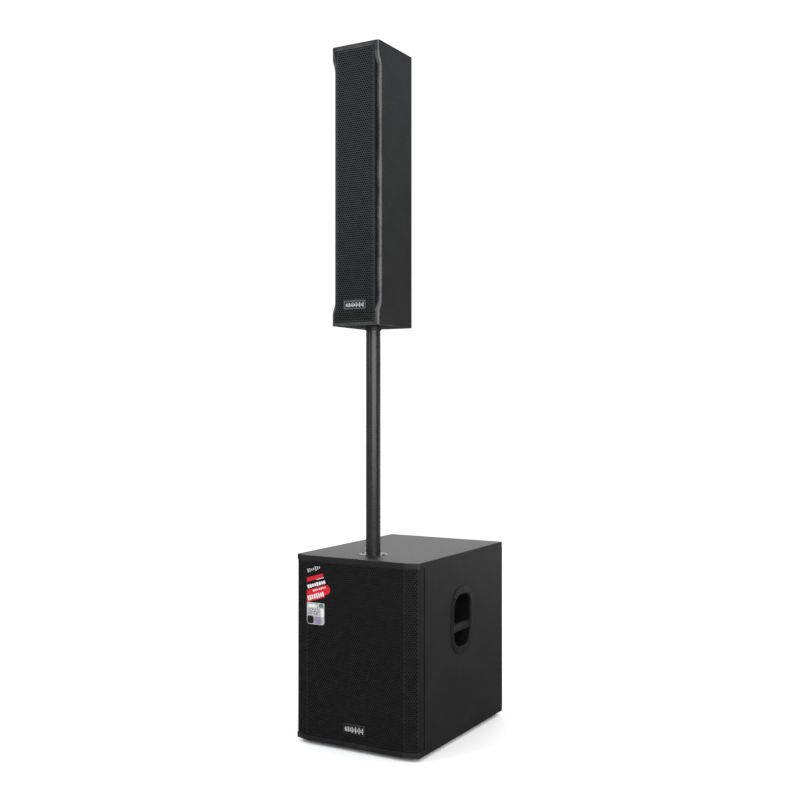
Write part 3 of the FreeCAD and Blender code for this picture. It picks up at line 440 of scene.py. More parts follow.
TEAL_PRINT = printed("teal_print", (0.06, 0.11, 0.10), (0.09, 0.15, 0.14))
# Darker plastic inside the handle cups: painted shade in the recess.
CUP_INSIDE_SHADE = moulded("cup_inside_shade", 0.0015, 0.003, (0.7, 0.85), 700, 0.12)
ZINC = metal("zinc", 0.72, 0.8, (0.2, 0.32))


def dress_nodes():
    """Give every CAD node the finish of its material slot; the column's paint has a painted highlight on its
    forward-facing surfaces.
    """
    # The column's paint, with paler forward faces as a painted highlight.
    worn_and_highlit = cabinet_paint("column_paint", COLUMN_FRONT_HIGHLIGHT)
    for part in frame["record"]["subparts"]:
        mesh = frame["nodes"][part["node"]].data
        finish = FINISHES[part["material_slot"]]
        if part["material_slot"] == "cabinet_paint" and part["node"].startswith("column_"):
            finish = worn_and_highlit
        mesh.materials.clear()
        mesh.materials.append(finish)


# ---------------------------------------------------------------- making pieces


def axes(origin, across, up):
    """Matrix that sets (across, up, out) shapes at an origin in the frame."""
    across, up = Vector(across), Vector(up)
    out = across.cross(up)
    turn = Matrix((across, up, out)).transposed().to_4x4()
    return Matrix.Translation(origin) @ turn


def facing_front(x, y, z):
    return axes((x, y, z), (1, 0, 0), (0, 0, 1))


def facing_rear(x, y, z):
    return axes((x, y, z), (-1, 0, 0), (0, 0, 1))


def facing_side(x, y, z):
    """Outwards from the cabinet's side, to the right where x is positive."""
    return axes((x, y, z), (0, math.copysign(1, x), 0), (0, 0, 1))


def middle(node):
    """Centre and extent of a CAD node's box."""
    low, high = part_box(node)
    return (low + high) / 2, high - low


WELD = 0.001 * MM


def finished(name, form, materials, body, stands_for=(), smooth=32):
    """Turn a bmesh in frame coordinates into a piece that rides on a body."""
    bmesh.ops.remove_doubles(form, verts=form.verts, dist=WELD)
    mesh = bpy.data.meshes.new(name)
    form.to_mesh(mesh)
    form.free()
    return finished_mesh(name, mesh, materials, body, stands_for, smooth)


def finished_mesh(name, mesh, materials, body, stands_for=(), smooth=32):
    for material in materials:
        mesh.materials.append(material)
    mesh.shade_smooth()
    mesh.set_sharp_from_angle(angle=math.radians(smooth))
    piece = bpy.data.objects.new(name, mesh)
    scene.collection.objects.link(piece)
    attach(piece, body)
    if stands_for:
        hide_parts(*stands_for)
    return piece


def ring(width, tall, radius, out, x=0.0, y=0.0, steps=7):
    """Rounded rectangle at one height, counter-clockwise, every ring with the same number of points."""
    points = []
    for quarter, (side, rise) in enumerate(((1, 1), (-1, 1), (-1, -1), (1, -1))):
        for step in range(steps + 1):
            angle = (quarter + step / steps) * QUARTER
            points.append(Vector((x + side * (width / 2 - radius) + radius * math.cos(angle),
                                  y + rise * (tall / 2 - radius) + radius * math.sin(angle), out)))
    return points


def disc(radius, out, x=0.0, y=0.0, steps=48, flute=0.0, flutes=0):
    """Circle at one height, its radius waved by a number of flutes."""
    points = []
    for step in range(steps):
        angle = 2 * math.pi * step / steps
        reach = radius - flute * (0.5 + 0.5 * math.cos(flutes * angle)) ** 2
        points.append(Vector((x + reach * math.cos(angle), y + reach * math.sin(angle), out)))
    return points


def loft(form, rings, matrix, material=0, cap_first=True, cap_last=True):
    """Skin over rings of equal length, from the lowest to the highest, facing outwards."""
    rows = [[form.verts.new(matrix @ point) for point in row] for row in rings]
    count = len(rows[0])
    faces = []
    for low, high in zip(rows, rows[1:]):
        for index in range(count):
            after = (index + 1) % count
            faces.append(form.faces.new((low[index], low[after], high[after], high[index])))
    if cap_first:
        faces.append(form.faces.new(rows[0][::-1]))
    if cap_last:
        faces.append(form.faces.new(rows[-1]))
    for face in faces:
        face.material_index = material


def slab(form, outline, high, matrix, material=0):
    """Flat shape of a given height on a face, from an outline given counter-clockwise as (across, up)."""
    loft(form, [[Vector((*point, out)) for point in outline] for out in (0, high)], matrix, material)


def bar(form, x, y, width, tall, low, high, matrix, material=0, turn=0.0):
    """Small rounded bar lying on a face."""
    radius = min(width, tall) * 0.3
    ease = min(width, tall, (high - low) * 2) * 0.15
    spin = Matrix.Translation((x, y, 0)) @ Matrix.Rotation(turn, 4, "Z")
    loft(form, [ring(width, tall, radius, low, steps=2), ring(width, tall, radius, high - ease, steps=2),
                ring(width - 2 * ease, tall - 2 * ease, radius - ease, high, steps=2)],
         matrix @ spin, material)


# ---------------------------------------------------------------- perforated grilles

HOLE_PITCH = 6.3 * MM
HOLE_RADIUS = 2.15 * MM
HOLE_SIDES = 8
HOLE_MARGIN = 3.2 * MM
CELL_SHAPE = 1.15
FOLD_MARGIN = 0.2 * MM
BEND_STEPS = 5


class FoldedSheet:
    """Plan line of a folded sheet with rounded bends; stations hold an outer point and its normal."""

    def __init__(self, corners, radius, perforated):
        self.stations = []
        self.blocks = []
        perforated = (*perforated, False)
        corners = [Vector(corner) for corner in corners]
        runs = [after - before for before, after in zip(corners, corners[1:])]
        turns = [0.0] + [a.angle_signed(b) * -1 for a, b in zip(runs, runs[1:])] + [0.0]
        for index, run in enumerate(runs):
            along = run.normalized()
            out = Vector((along.y, -along.x))
            first = radius * math.tan(turns[index] / 2)
            last = run.length - radius * math.tan(turns[index + 1] / 2)
            marks = [first, last]
            if perforated[index]:
                begin = first + (FOLD_MARGIN if perforated[index - 1] else HOLE_MARGIN)
                end = last - (FOLD_MARGIN if perforated[index + 1] else HOLE_MARGIN)
                columns = round((end - begin) / HOLE_PITCH)
                self.blocks.append((len(self.stations) + 1, columns))
                inner = [begin + (end - begin) * k / (2 * columns) for k in range(2 * columns + 1)]
                marks = [first] + inner + [last]
            self.stations += [(corners[index] + along * mark, out) for mark in marks]
            if index + 1 < len(runs):
                centre = self.stations[-1][0] - out * radius
                for step in range(1, BEND_STEPS):
                    turned = out.copy()
                    turned.rotate(Matrix.Rotation(turns[index + 1] * step / BEND_STEPS, 2))
                    self.stations.append((centre + turned * radius, turned))


def levels(low, high):
    """Heights of the rows of holes between two plain margins."""
    begin, end = low + HOLE_MARGIN, high - HOLE_MARGIN
    rows = round((end - begin) / (HOLE_PITCH * math.sin(math.pi / 3)))
    return [low] + [begin + (end - begin) * k / rows for k in range(rows + 1)] + [high]


def hole_pattern():
    """Triangles between the border of a cell and the rim of its hole, and the rim's angles.

    Each corner of a triangle is a loop's name and the point's number on it.
    """
    corner = math.atan2(1, CELL_SHAPE)
    border = [corner - math.pi, -QUARTER, -corner, corner, QUARTER, math.pi - corner]
    rim = [-math.pi + (k + 0.5) * 2 * math.pi / HOLE_SIDES for k in range(HOLE_SIDES)]
    triangles = []
    count = len(border)
    outer = inner = 0
    while outer < count or inner < HOLE_SIDES:
        next_outer = border[(outer + 1) % count] + (2 * math.pi if outer >= count - 1 else 0)
        next_inner = rim[(inner + 1) % HOLE_SIDES] + (2 * math.pi if inner >= HOLE_SIDES - 1 else 0)
        on_border, on_rim = ("border", outer % count), ("rim", inner % HOLE_SIDES)
        if inner >= HOLE_SIDES or (outer < count and next_outer < next_inner):
            triangles.append((on_border, ("border", (outer + 1) % count), on_rim))
            outer += 1
        else:
            triangles.append((on_rim, on_border, ("rim", (inner + 1) % HOLE_SIDES)))
            inner += 1
    return triangles, rim


class Perforation:
    """Mesh of a folded sheet of real thickness with staggered round holes through it."""

    def __init__(self, sheet, low, high, thick):
        self.stations = sheet.stations
        self.heights = levels(low, high)
        self.thick = thick
        self.points, self.faces = [], []
        self.pattern, self.rim = hole_pattern()
        for point, out in self.stations:
            for height in self.heights:
                self.add_point(point, out, height)
        self.holed = set()
        for first, columns in sheet.blocks:
            self.perforate(first, columns)
        self.fill_plain()
        self.close_edges()

    def add_point(self, point, out, height):
        """A point of the outer face and the one behind it; returns the outer one's number."""
        inner = point - out * self.thick
        self.points += [(point.x, point.y, height), (inner.x, inner.y, height)]
        return len(self.points) - 2

    def grid(self, column, row):
        return 2 * (column * len(self.heights) + row)

    def add_face(self, numbers):
        self.faces.append(tuple(numbers))
        self.faces.append(tuple(number + 1 for number in reversed(numbers)))

    def perforate(self, first, columns):
        rows = len(self.heights) - 3
        for row in range(1, rows + 1):
            offset = row % 2
            for column in range(columns - offset):
                self.hole(first + offset + 2 * column, row)

    def hole(self, column, row):
        """One hole in the cell that is two stations wide and one row tall."""
        self.holed.update(((column, row), (column + 1, row)))
        border = [self.grid(column + a, row + b) for a, b in ((0, 0), (1, 0), (2, 0), (2, 1), (1, 1), (0, 1))]
        point, out = self.stations[column + 1]
        along = Vector((-out.y, out.x))
        middle = (self.heights[row] + self.heights[row + 1]) / 2
        rim = [self.add_point(point + along * (HOLE_RADIUS * math.cos(angle)), out,
                              middle + HOLE_RADIUS * math.sin(angle)) for angle in self.rim]
        loops = {"border": border, "rim": rim}
        for triangle in self.pattern:
            self.add_face([loops[loop][index] for loop, index in triangle])
        for here, after in zip(rim, rim[1:] + rim[:1]):
            self.faces.append((here, after, after + 1, here + 1))

    def fill_plain(self):
        for column in range(len(self.stations) - 1):
            for row in range(len(self.heights) - 1):
                if (column, row) not in self.holed:
                    self.add_face([self.grid(column, row), self.grid(column + 1, row),
                                   self.grid(column + 1, row + 1), self.grid(column, row + 1)])

    def close_edges(self):
        last_column, last_row = len(self.stations) - 1, len(self.heights) - 1
        for column in range(last_column):
            self.add_edge(self.grid(column + 1, 0), self.grid(column, 0))
            self.add_edge(self.grid(column, last_row), self.grid(column + 1, last_row))
        for row in range(last_row):
            self.add_edge(self.grid(0, row), self.grid(0, row + 1))
            self.add_edge(self.grid(last_column, row + 1), self.grid(last_column, row))

    def add_edge(self, here, after):
        self.faces.append((here, after, after + 1, here + 1))

    def mesh(self, name):
        made = bpy.data.meshes.new(name)
        made.from_pydata(self.points, [], self.faces)
        made.validate()
        return made


WING = (38 * MM, 12 * MM)
SUB_SHEET, SUB_BEND = 1.5 * MM, 2.4 * MM
COLUMN_SHEET, COLUMN_BEND = 1.2 * MM, 2 * MM


def grille(node, body, corners, bend, perforated, thick):
    """Perforated sheet that stands for a plain folded one."""
    low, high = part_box(node)
    mesh = Perforation(FoldedSheet(corners, bend, perforated), low.z, high.z, thick).mesh(node + "_sheet")
    finished_mesh(node + "_sheet", mesh, [FINISHES["grille_steel"]], body, [node])


def grilles():
    """The subwoofer's sheet with its two angled wings, and the column's flat one; both have plain returns."""
    low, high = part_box("sub_grille")
    wing, slant = WING
    corners = [(low.x, high.y), (low.x, low.y + slant), (low.x + wing, low.y),
               (high.x - wing, low.y), (high.x, low.y + slant), (high.x, high.y)]
    grille("sub_grille", "subwoofer", corners, SUB_BEND, (False, True, True, True, False), SUB_SHEET)
    low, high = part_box("column_grille")
    corners = [(low.x, high.y), (low.x, low.y), (high.x, low.y), (high.x, high.y)]
    grille("column_grille", "column", corners, COLUMN_BEND, (False, True, False), COLUMN_SHEET)


# ---------------------------------------------------------------- foam behind the grilles

FOAM_STEP = 7 * MM
FOAM_SWELL = 0.5 * MM
FOAM_GAP = 0.6 * MM
FOAM_INSET = 1 * MM
FOAM_WING = (36 * MM, 11.1 * MM)


def foam_sheet(name, corners, body, node, thick):
    """Open-cell foam laid against the inside of a grille, its faces softly uneven."""
    low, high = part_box(node)
    stations = FoldedSheet(corners, 1.5 * MM, (True,) * (len(corners) - 1)).stations
    rows = max(2, round((high.z - low.z) / FOAM_STEP))
    foot, tall = low.z + FOAM_INSET, high.z - low.z - 2 * FOAM_INSET
    heights = [foot + tall * row / rows for row in range(rows + 1)]
    form = bmesh.new()
    grid = []
    for point, out in stations:
        column = []
        for height in heights:
            swell = FOAM_SWELL * noise.noise(Vector((point.x, point.y, height)) * 45)
            front = point - out * (FOAM_GAP - swell)
            back = point - out * (thick + swell)
            column.append((form.verts.new((front.x, front.y, height)),
                           form.verts.new((back.x, back.y, height))))
        grid.append(column)
    for here, after in zip(grid, grid[1:]):
        for row in range(rows):
            a, b, c, d = here[row], after[row], after[row + 1], here[row + 1]
            form.faces.new((a[0], b[0], c[0], d[0]))
            form.faces.new((d[1], c[1], b[1], a[1]))
        form.faces.new((after[0][0], here[0][0], here[0][1], after[0][1]))
        form.faces.new((here[rows][0], after[rows][0], after[rows][1], here[rows][1]))
    for row in range(rows):
        a, b = grid[0][row], grid[0][row + 1]
        form.faces.new((a[0], b[0], b[1], a[1]))
        a, b = grid[-1][row], grid[-1][row + 1]
        form.faces.new((b[0], a[0], a[1], b[1]))
    piece = finished(name, form, [FINISHES["foam"]], body, [node], 180)


def foams():
    low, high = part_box("sub_grille_foam")
    edge, rise = FOAM_WING
    corners = [(low.x, low.y + rise), (low.x + edge, low.y), (high.x - edge, low.y), (high.x, low.y + rise)]
    foam_sheet("sub_foam_sheet", corners, "subwoofer", "sub_grille_foam", 5.6 * MM)
    low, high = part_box("column_grille_foam")
    corners = [(low.x, low.y), (high.x, low.y)]
    foam_sheet("column_foam_sheet", corners, "column", "column_grille_foam", 4.6 * MM)


# ---------------------------------------------------------------- badges and sticker

BADGE_RIM = 1.3 * MM
BADGE_RISE = 0.25 * MM
BADGE_BARS = 11


def badge(name, node, body, border=0.0, drop=0.0):
    """Dark plate with a bright frame, and a row of level bars as its mark.

    The frame may be set in from the plate's edge by a border, and lower on it by a drop.
    """
    low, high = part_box(node)
    matrix = facing_front((low.x + high.x) / 2, high.y, (low.z + high.z) / 2)
    width, tall, thick = high.x - low.x, high.z - low.z, high.y - low.y
    form = bmesh.new()
    loft(form, [ring(width, tall, 2 * MM, 0), ring(width, tall, 2 * MM, thick - 0.35 * MM),
                ring(width - 0.7 * MM, tall - 0.7 * MM, 1.65 * MM, thick)], matrix, 1 if border else 0)
    width, tall = width - 2 * border, tall - 2 * border
    matrix = matrix @ Matrix.Translation((0, -drop, 0))
    outer = (width - 0.8 * MM, tall - 0.8 * MM, 1.6 * MM)
    inner = (width - 2 * BADGE_RIM, tall - 2 * BADGE_RIM, 1 * MM)
    loft(form, [ring(*outer, thick - 0.1 * MM), ring(*outer, thick + BADGE_RISE),
                ring(*inner, thick + BADGE_RISE), ring(*inner, thick + 0.05 * MM)], matrix, 0, True, False)
    loft(form, [ring(*inner, thick - 0.05 * MM), ring(*inner, thick + 0.05 * MM)], matrix, 1)
    pitch = (inner[0] - 6 * MM) / BADGE_BARS
    for index in range(BADGE_BARS):
        share = 0.3 + 0.42 * math.sin(index * 1.7 + 0.6) ** 2
        bar(form, (index - (BADGE_BARS - 1) / 2) * pitch, 0, pitch * 0.44, inner[1] * share,
            thick, thick + BADGE_RISE, matrix, 2)
    bar(form, 0, -0.1 * tall, inner[0] - 8 * MM, 0.9 * MM, thick, thick + 0.2 * MM, matrix, 2)
    finished(name, form, [FINISHES["badge"], DARK_PRINT, MARK_PRINT], body, [node])


STICKER_LEFT = -147 * MM
STICKER_WIDE = 55 * MM
STICKER_SLOPE = 0.3
PANEL_TOP, PANEL_LOW = 372 * MM, 315 * MM
FILM = 0.12 * MM
STICKER_INKS = [WHITE_PRINT, RED_PRINT, PALE_PRINT, GREY_PRINT, MARK_PRINT, TEAL_PRINT, DARK_PRINT]
WHITE, RED, PALE, LILAC, SILVER, TEAL, BLACK = range(7)


def ribbon(form, matrix, base, tall, layer, ink, wide, tip=0.0):
    """Slanted band rising to the right from the sticker's left edge, with an optional rounded end."""
    rise = wide * STICKER_SLOPE
    outline = [(0, base), (wide, base + rise)]
    for step in range(1, 6 if tip else 1):
        angle = math.pi * (step / 6 - 0.5)
        outline.append((wide + tip * math.cos(angle), base + rise + tall / 2 * (1 + math.sin(angle))))
    outline += [(wide, base + rise + tall), (0, base + tall)]
    slab(form, outline, layer * FILM, matrix, ink)


def bar_row(form, matrix, base, count, first, last, filled, tall, layer, ink, uneven):
    """Row of small upright bars that follows the ribbons' slope; filled is the share that they cover."""
    pitch = (last - first) / count
    for index in range(count):
        x = first + pitch * (index + 0.5)
        size = tall * (1 - uneven * abs(math.sin(index * 2.3 + 0.4)))
        bar(form, x, base + x * STICKER_SLOPE, pitch * filled, size, 0, layer * FILM, matrix, ink,
            STICKER_SLOPE * 0.9)


def block(form, matrix, x, y, wide, tall, radius, ink):
    """Printed patch with rounded corners, one film above the panel."""
    corners = ring(wide, tall, radius, 0, x, y, 4)
    slab(form, [(p.x, p.y) for p in corners], 2 * FILM, matrix, ink)


def sticker():
    """Promotional film on the grille's upper left corner: plain ribbons, a panel and rows of bars."""
    at = facing_front(STICKER_LEFT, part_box("sub_grille")[0].y, 0)
    form = bmesh.new()
    bar_row(form, at, 453 * MM, 7, 1 * MM, 42 * MM, 0.5, 13 * MM, 2, SILVER, 0.6)
    ribbon(form, at, 424 * MM, 11 * MM, 3, RED, 51 * MM)
    bar(form, 42 * MM, 436 * MM, 24 * MM, 1.6 * MM, 0, 4 * FILM, at, WHITE, STICKER_SLOPE)
    bar_row(form, at, 411 * MM, 8, 1.5 * MM, 58 * MM, 0.84, 11 * MM, 3, WHITE, 0.25)
    ribbon(form, at, 377 * MM, 26 * MM, 2, RED, 60 * MM, 13 * MM)
    bar_row(form, at, 397 * MM, 7, 18 * MM, 60 * MM, 0.66, 5.5 * MM, 4, WHITE, 0.3)
    ribbon(form, at, 371 * MM, 20 * MM, 1, RED, 56 * MM)
    bar_row(form, at, 381 * MM, 8, 1.5 * MM, 54 * MM, 0.72, 14 * MM, 3, WHITE, 0.2)
    bend = 8 * MM
    panel = [(0, PANEL_TOP), (0, PANEL_LOW + bend)]
    for side, start in ((bend, 2), (STICKER_WIDE - bend, 3)):
        for step in range(7):
            angle = QUARTER * (start + step / 6)
            panel.append((side + bend * math.cos(angle), PANEL_LOW + bend + bend * math.sin(angle)))
    panel += [(STICKER_WIDE, PANEL_TOP)]
    slab(form, panel, FILM, at, PALE)
    block(form, at, 17 * MM, 363 * MM, 27 * MM, 8 * MM, 2 * MM, WHITE)
    block(form, at, 45 * MM, 365 * MM, 14 * MM, 9 * MM, 3 * MM, TEAL)
    block(form, at, 48 * MM, 347 * MM, 10 * MM, 22 * MM, 3 * MM, WHITE)
    for row in range(3):
        for index in range(4):
            x, y = (7 + 8 * index + 2 * row) * MM, (343 + 5.5 * row) * MM
            ink = BLACK if (row + index) % 3 == 0 else LILAC
            block(form, at, x, y, 4.2 * MM, 2.6 * MM, 1 * MM, ink)
    block(form, at, 11.5 * MM, 327 * MM, 20 * MM, 20 * MM, 5 * MM, BLACK)
    block(form, at, 34 * MM, 326 * MM, 22 * MM, 18 * MM, 3 * MM, LILAC)
    finished("promo_sticker", form, STICKER_INKS, "subwoofer", (), 20)


# ---------------------------------------------------------------- handles

FLANGE_RADIUS = 58 * MM
CUP = (98 * MM, 137 * MM, 36 * MM)
CUP_DEEP, CUP_SHELL = 55 * MM, 3 * MM
LIP_WIDE, LIP_RISE = 6.5 * MM, 0.6 * MM
GRIP_AT = (-19 * MM, -12 * MM)
GRIP_WIDE, GRIP_DEEP, GRIP_RIBS = 24 * MM, 20 * MM, 4 * MM
GRIP_STATIONS = ((-49.7 * MM, 1.12), (-45 * MM, 1), (45 * MM, 1), (49.7 * MM, 1.12))
GRIP_POINTS = 84
SQUARISH = 0.66


def grip_section():
    """Section of the grip bar as (up, out) points, ribbed on its outer face."""
    up, out = GRIP_AT
    points = []
    for step in range(GRIP_POINTS):
        angle = 2 * math.pi * step / GRIP_POINTS
        across = GRIP_WIDE / 2 * math.copysign(abs(math.cos(angle)) ** SQUARISH, math.cos(angle))
        rise = GRIP_DEEP / 2 * math.copysign(abs(math.sin(angle)) ** SQUARISH, math.sin(angle))
        ribbed = 0.45 * MM * math.cos(2 * math.pi * across / GRIP_RIBS) * max(math.sin(angle), 0) ** 0.5
        points.append(Vector((up + across, out + rise + ribbed, 0)))
    return points


def handle(side):
    """Moulded cup with a flat flange, a raised rounded lip round its mouth and a ribbed grip; the inside of the
    cup is painted darker as painted shade.
    """
    node = "handle_" + side
    centre, extent = middle(node)
    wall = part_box("sub_side_panel_" + side)[1 if side == "right" else 0].x
    matrix = facing_side(wall, centre.y, centre.z)
    flange = (extent.y, extent.z, FLANGE_RADIUS)

    def level(shape, grown, out):
        wide, tall, radius = shape
        return ring(wide + 2 * grown, tall + 2 * grown, radius + grown, out, steps=12)

    form = bmesh.new()
    crest = 2.2 * MM + LIP_RISE
    loft(form, [
        level(CUP, CUP_SHELL, -CUP_DEEP - CUP_SHELL), level(CUP, CUP_SHELL, -0.2 * MM),
        level(flange, -0.2 * MM, 0), level(flange, 0, 0.8 * MM), level(flange, -0.6 * MM, 1.6 * MM),
        level(flange, -1.8 * MM, 2.1 * MM), level(CUP, LIP_WIDE + 1 * MM, 2.0 * MM),
        level(CUP, LIP_WIDE, 2.2 * MM), level(CUP, LIP_WIDE - 1 * MM, 2.0 * MM + LIP_RISE * 0.7),
        level(CUP, LIP_WIDE * 0.6, crest), level(CUP, LIP_WIDE * 0.35, crest),
        level(CUP, 0.8 * MM, 1.8 * MM + LIP_RISE * 0.6), level(CUP, 0, 0.6 * MM),
        level(CUP, -0.1 * MM, -3 * MM)], matrix, 0, True, False)
    # Inner wall and floor of the cup, painted darker as painted shade.
    loft(form, [level(CUP, -0.1 * MM, -3 * MM), level(CUP, -0.8 * MM, -CUP_DEEP + 8 * MM),
                level(CUP, -3 * MM, -CUP_DEEP + 2 * MM), level(CUP, -7 * MM, -CUP_DEEP)],
         matrix, 1, False, True)
    along = matrix @ Matrix(((0, 0, 1, 0), (1, 0, 0, 0), (0, 1, 0, 0), (0, 0, 0, 1)))
    hub = Vector((*GRIP_AT, 0))
    loft(form, [[hub + (point - hub) * scale + Vector((0, 0, across)) for point in grip_section()]
                for across, scale in GRIP_STATIONS], along)
    finished("handle_moulding_" + side, form, [FINISHES["handle_plastic"], CUP_INSIDE_SHADE], "subwoofer",
             [node], 40)


# ---------------------------------------------------------------- screws


def seats(node):
    """Top of each screw head and the way it faces, from the islands of a CAD node's mesh."""
    form = bmesh.new()
    form.from_mesh(frame["nodes"][node].data)
    bmesh.ops.remove_doubles(form, verts=form.verts, dist=0.01 * MM)
    left = set(form.verts)
    found = []
    while left:
        todo, island = [left.pop()], []
        while todo:
            vertex = todo.pop()
            island.append(vertex.co.copy())
            for edge in vertex.link_edges:
                other = edge.other_vert(vertex)
                if other in left:
                    left.discard(other)
                    todo.append(other)
        low = Vector([min(point[k] for point in island) for k in range(3)])
        high = Vector([max(point[k] for point in island) for k in range(3)])
        centre = (low + high) / 2
        axis = max(range(3), key=lambda k: high[k] - low[k])
        across = [k for k in range(3) if k != axis]
        wide = max(island, key=lambda point: sum((point[k] - centre[k]) ** 2 for k in across))
        top = centre.copy()
        top[axis] = high[axis] if wide[axis] > centre[axis] else low[axis]
        found.append((top, (top - centre).normalized()))
    form.free()
    return sorted(found, key=lambda seat: tuple(round(value, 4) for value in seat[0]))


def cross(arm, half, out, steps=48):
    """Outline of a cross recess, with the same number of points as a disc."""
    points = []
    for step in range(steps):
        angle = 2 * math.pi * step / steps
        sine, cosine = abs(math.sin(angle)), abs(math.cos(angle))
        reach = min(arm / max(sine, cosine), half / max(min(sine, cosine), 1e-6))
        points.append(Vector((reach * math.cos(angle), reach * math.sin(angle), out)))
    return points


PAN_PROFILE = ((2, -0.55), (4, -0.45), (4, 0.5), (3.7, 1.2), (3, 1.72), (2.2, 1.97))


def pan_head(form, matrix, scale=1.0, shank=14 * MM):
    """Screw with a domed head and a cross recess, its underside a little into the face."""
    head = [disc(radius * MM, out * MM) for radius, out in PAN_PROFILE]
    recess = [cross(1.7 * MM, 0.42 * MM, 2 * MM), cross(1.1 * MM, 0.28 * MM, 0.9 * MM)]
    loft(form, [disc(2 * MM, -shank), *head, *recess], matrix @ Matrix.Scale(scale, 4))


def screws(name, node):
    """Pan-head screws with cross recesses on every seat of a node, each turned differently."""
    form = bmesh.new()
    for index, (top, out) in enumerate(seats(node)):
        up = Vector((0, 1, 0)) if abs(out.z) > 0.5 else Vector((0, 0, 1))
        spin = Matrix.Rotation(index * 0.7, 4, "Z")
        pan_head(form, axes(top - out * 2 * MM, up.cross(out), up) @ spin)
    finished(name, form, [FINISHES["screw_black"]], "subwoofer", [node], 35)


# ---------------------------------------------------------------- rear controls

KNOBS = {"knob_sub_level": "sub_level_knob", "knob_column_level": "column_level_knob",
         "knob_crossover": "crossover_knob"}
KNOB_STOP, KNOB_TICKS = 150, 11
KNOB_POINTS, KNOB_FLUTES = 144, 18
# Inset from the skirt's radius, height and flute depth in millimetres, from the skirt to the dished top.
KNOB_PROFILE = ((0.3, 0.6, 0), (0, 0.9, 0), (0, 2.2, 0), (0.5, 2.9, 0), (0.9, 3.1, 0), (1, 3.6, 0.7),
                (1.7, 10.9, 0.65), (2.2, 11.8, 0.3), (2.8, 12, 0), (3.4, 11.7, 0))
PRINT, PRINT_LINE = 0.1 * MM, 0.45 * MM
FLANGE_WIDE = 26 * MM
MAINS_PINS = ((18.5 * MM, 3 * MM), (11.5 * MM, -2 * MM), (25.5 * MM, -2 * MM))
SOCKET_SCREW, PLATE_SCREW = (9.5 * MM, 12 * MM), (40 * MM, 30 * MM)
SLEEVE_REACH, SLEEVE_ANGLES = 5.1 * MM, (-2.6, -0.54, QUARTER)
ROCKER_TILT, ROCKER_FACE = math.radians(9), math.radians(6)
ROCKER_END, ROCKER_TOP = 5.2 * MM, 3.24 * MM


def rear_face():
    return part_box("amp_plate")[1].y


def fluted_knob(node, body):
    """Skirted knob with fluted sides, a dished top and a pointer line."""
    centre, extent = middle(node)
    radius = extent.x / 2
    matrix = facing_rear(centre.x, rear_face(), centre.z)
    form = bmesh.new()

    def level(reach, out, flute=0.0):
        return disc(reach, out, steps=KNOB_POINTS, flute=flute, flutes=KNOB_FLUTES)

    skirt = [level(radius - inset * MM, out * MM, flute * MM) for inset, out, flute in KNOB_PROFILE]
    loft(form, [level(3 * MM, -12 * MM), level(3 * MM, 0.6 * MM), *skirt, level(2 * MM, 11.5 * MM)], matrix)
    bar(form, 0, 3.9 * MM, 0.9 * MM, 4.4 * MM, 11.3 * MM, 12.05 * MM, matrix, 1)
    bar(form, 0, radius - 0.9 * MM, 0.9 * MM, 1.6 * MM, 2 * MM, 3.3 * MM, matrix, 1)
    finished(node + "_cap", form, [FINISHES["knob_plastic"], WHITE_PRINT], body, [node], 40)


def legends():
    """Screen print on the rear plate: dial ticks, rising wedges, frames round sockets, button and lights."""
    form = bmesh.new()
    face = rear_face()
    for node in KNOBS:
        centre, extent = middle(node)
        matrix = facing_rear(centre.x, face, centre.z)
        for step in range(KNOB_TICKS):
            angle = math.radians(KNOB_STOP * (1 - 2 * step / (KNOB_TICKS - 1))) + QUARTER
            reach, long = extent.x / 2 + 3.4 * MM, (2.4 if step % 5 == 0 else 1.5) * MM
            x, y = reach * math.cos(angle), reach * math.sin(angle)
            bar(form, x, y, long, PRINT_LINE, 0, PRINT, matrix, turn=angle)
        wedge = [(-9 * MM, -18.4 * MM), (9 * MM, -18.4 * MM), (9 * MM, -15.8 * MM)]
        slab(form, wedge, PRINT, matrix)
    for node, margin in (("amp_sockets", 12), ("mains_inlet", 9), ("phase_button", 7), ("status_lights", 7)):
        centre, extent = middle(node)
        matrix = facing_rear(centre.x, face, centre.z)
        wide, tall = extent.x + margin * MM, extent.z + 9 * MM
        outline(form, wide, tall, matrix)
        if node == "amp_sockets":
            for share in (-0.25, 0, 0.25):
                bar(form, wide * share, 0, 0.4 * MM, tall, 0, PRINT, matrix)
    finished("rear_legends", form, [MARK_PRINT], "subwoofer", (), 30)


def outline(form, wide, tall, matrix):
    """Thin printed rectangle."""
    for sign in (-1, 1):
        bar(form, 0, sign * tall / 2, wide + PRINT_LINE, PRINT_LINE, 0, PRINT, matrix)
        bar(form, sign * wide / 2, 0, PRINT_LINE, tall - PRINT_LINE, 0, PRINT, matrix)


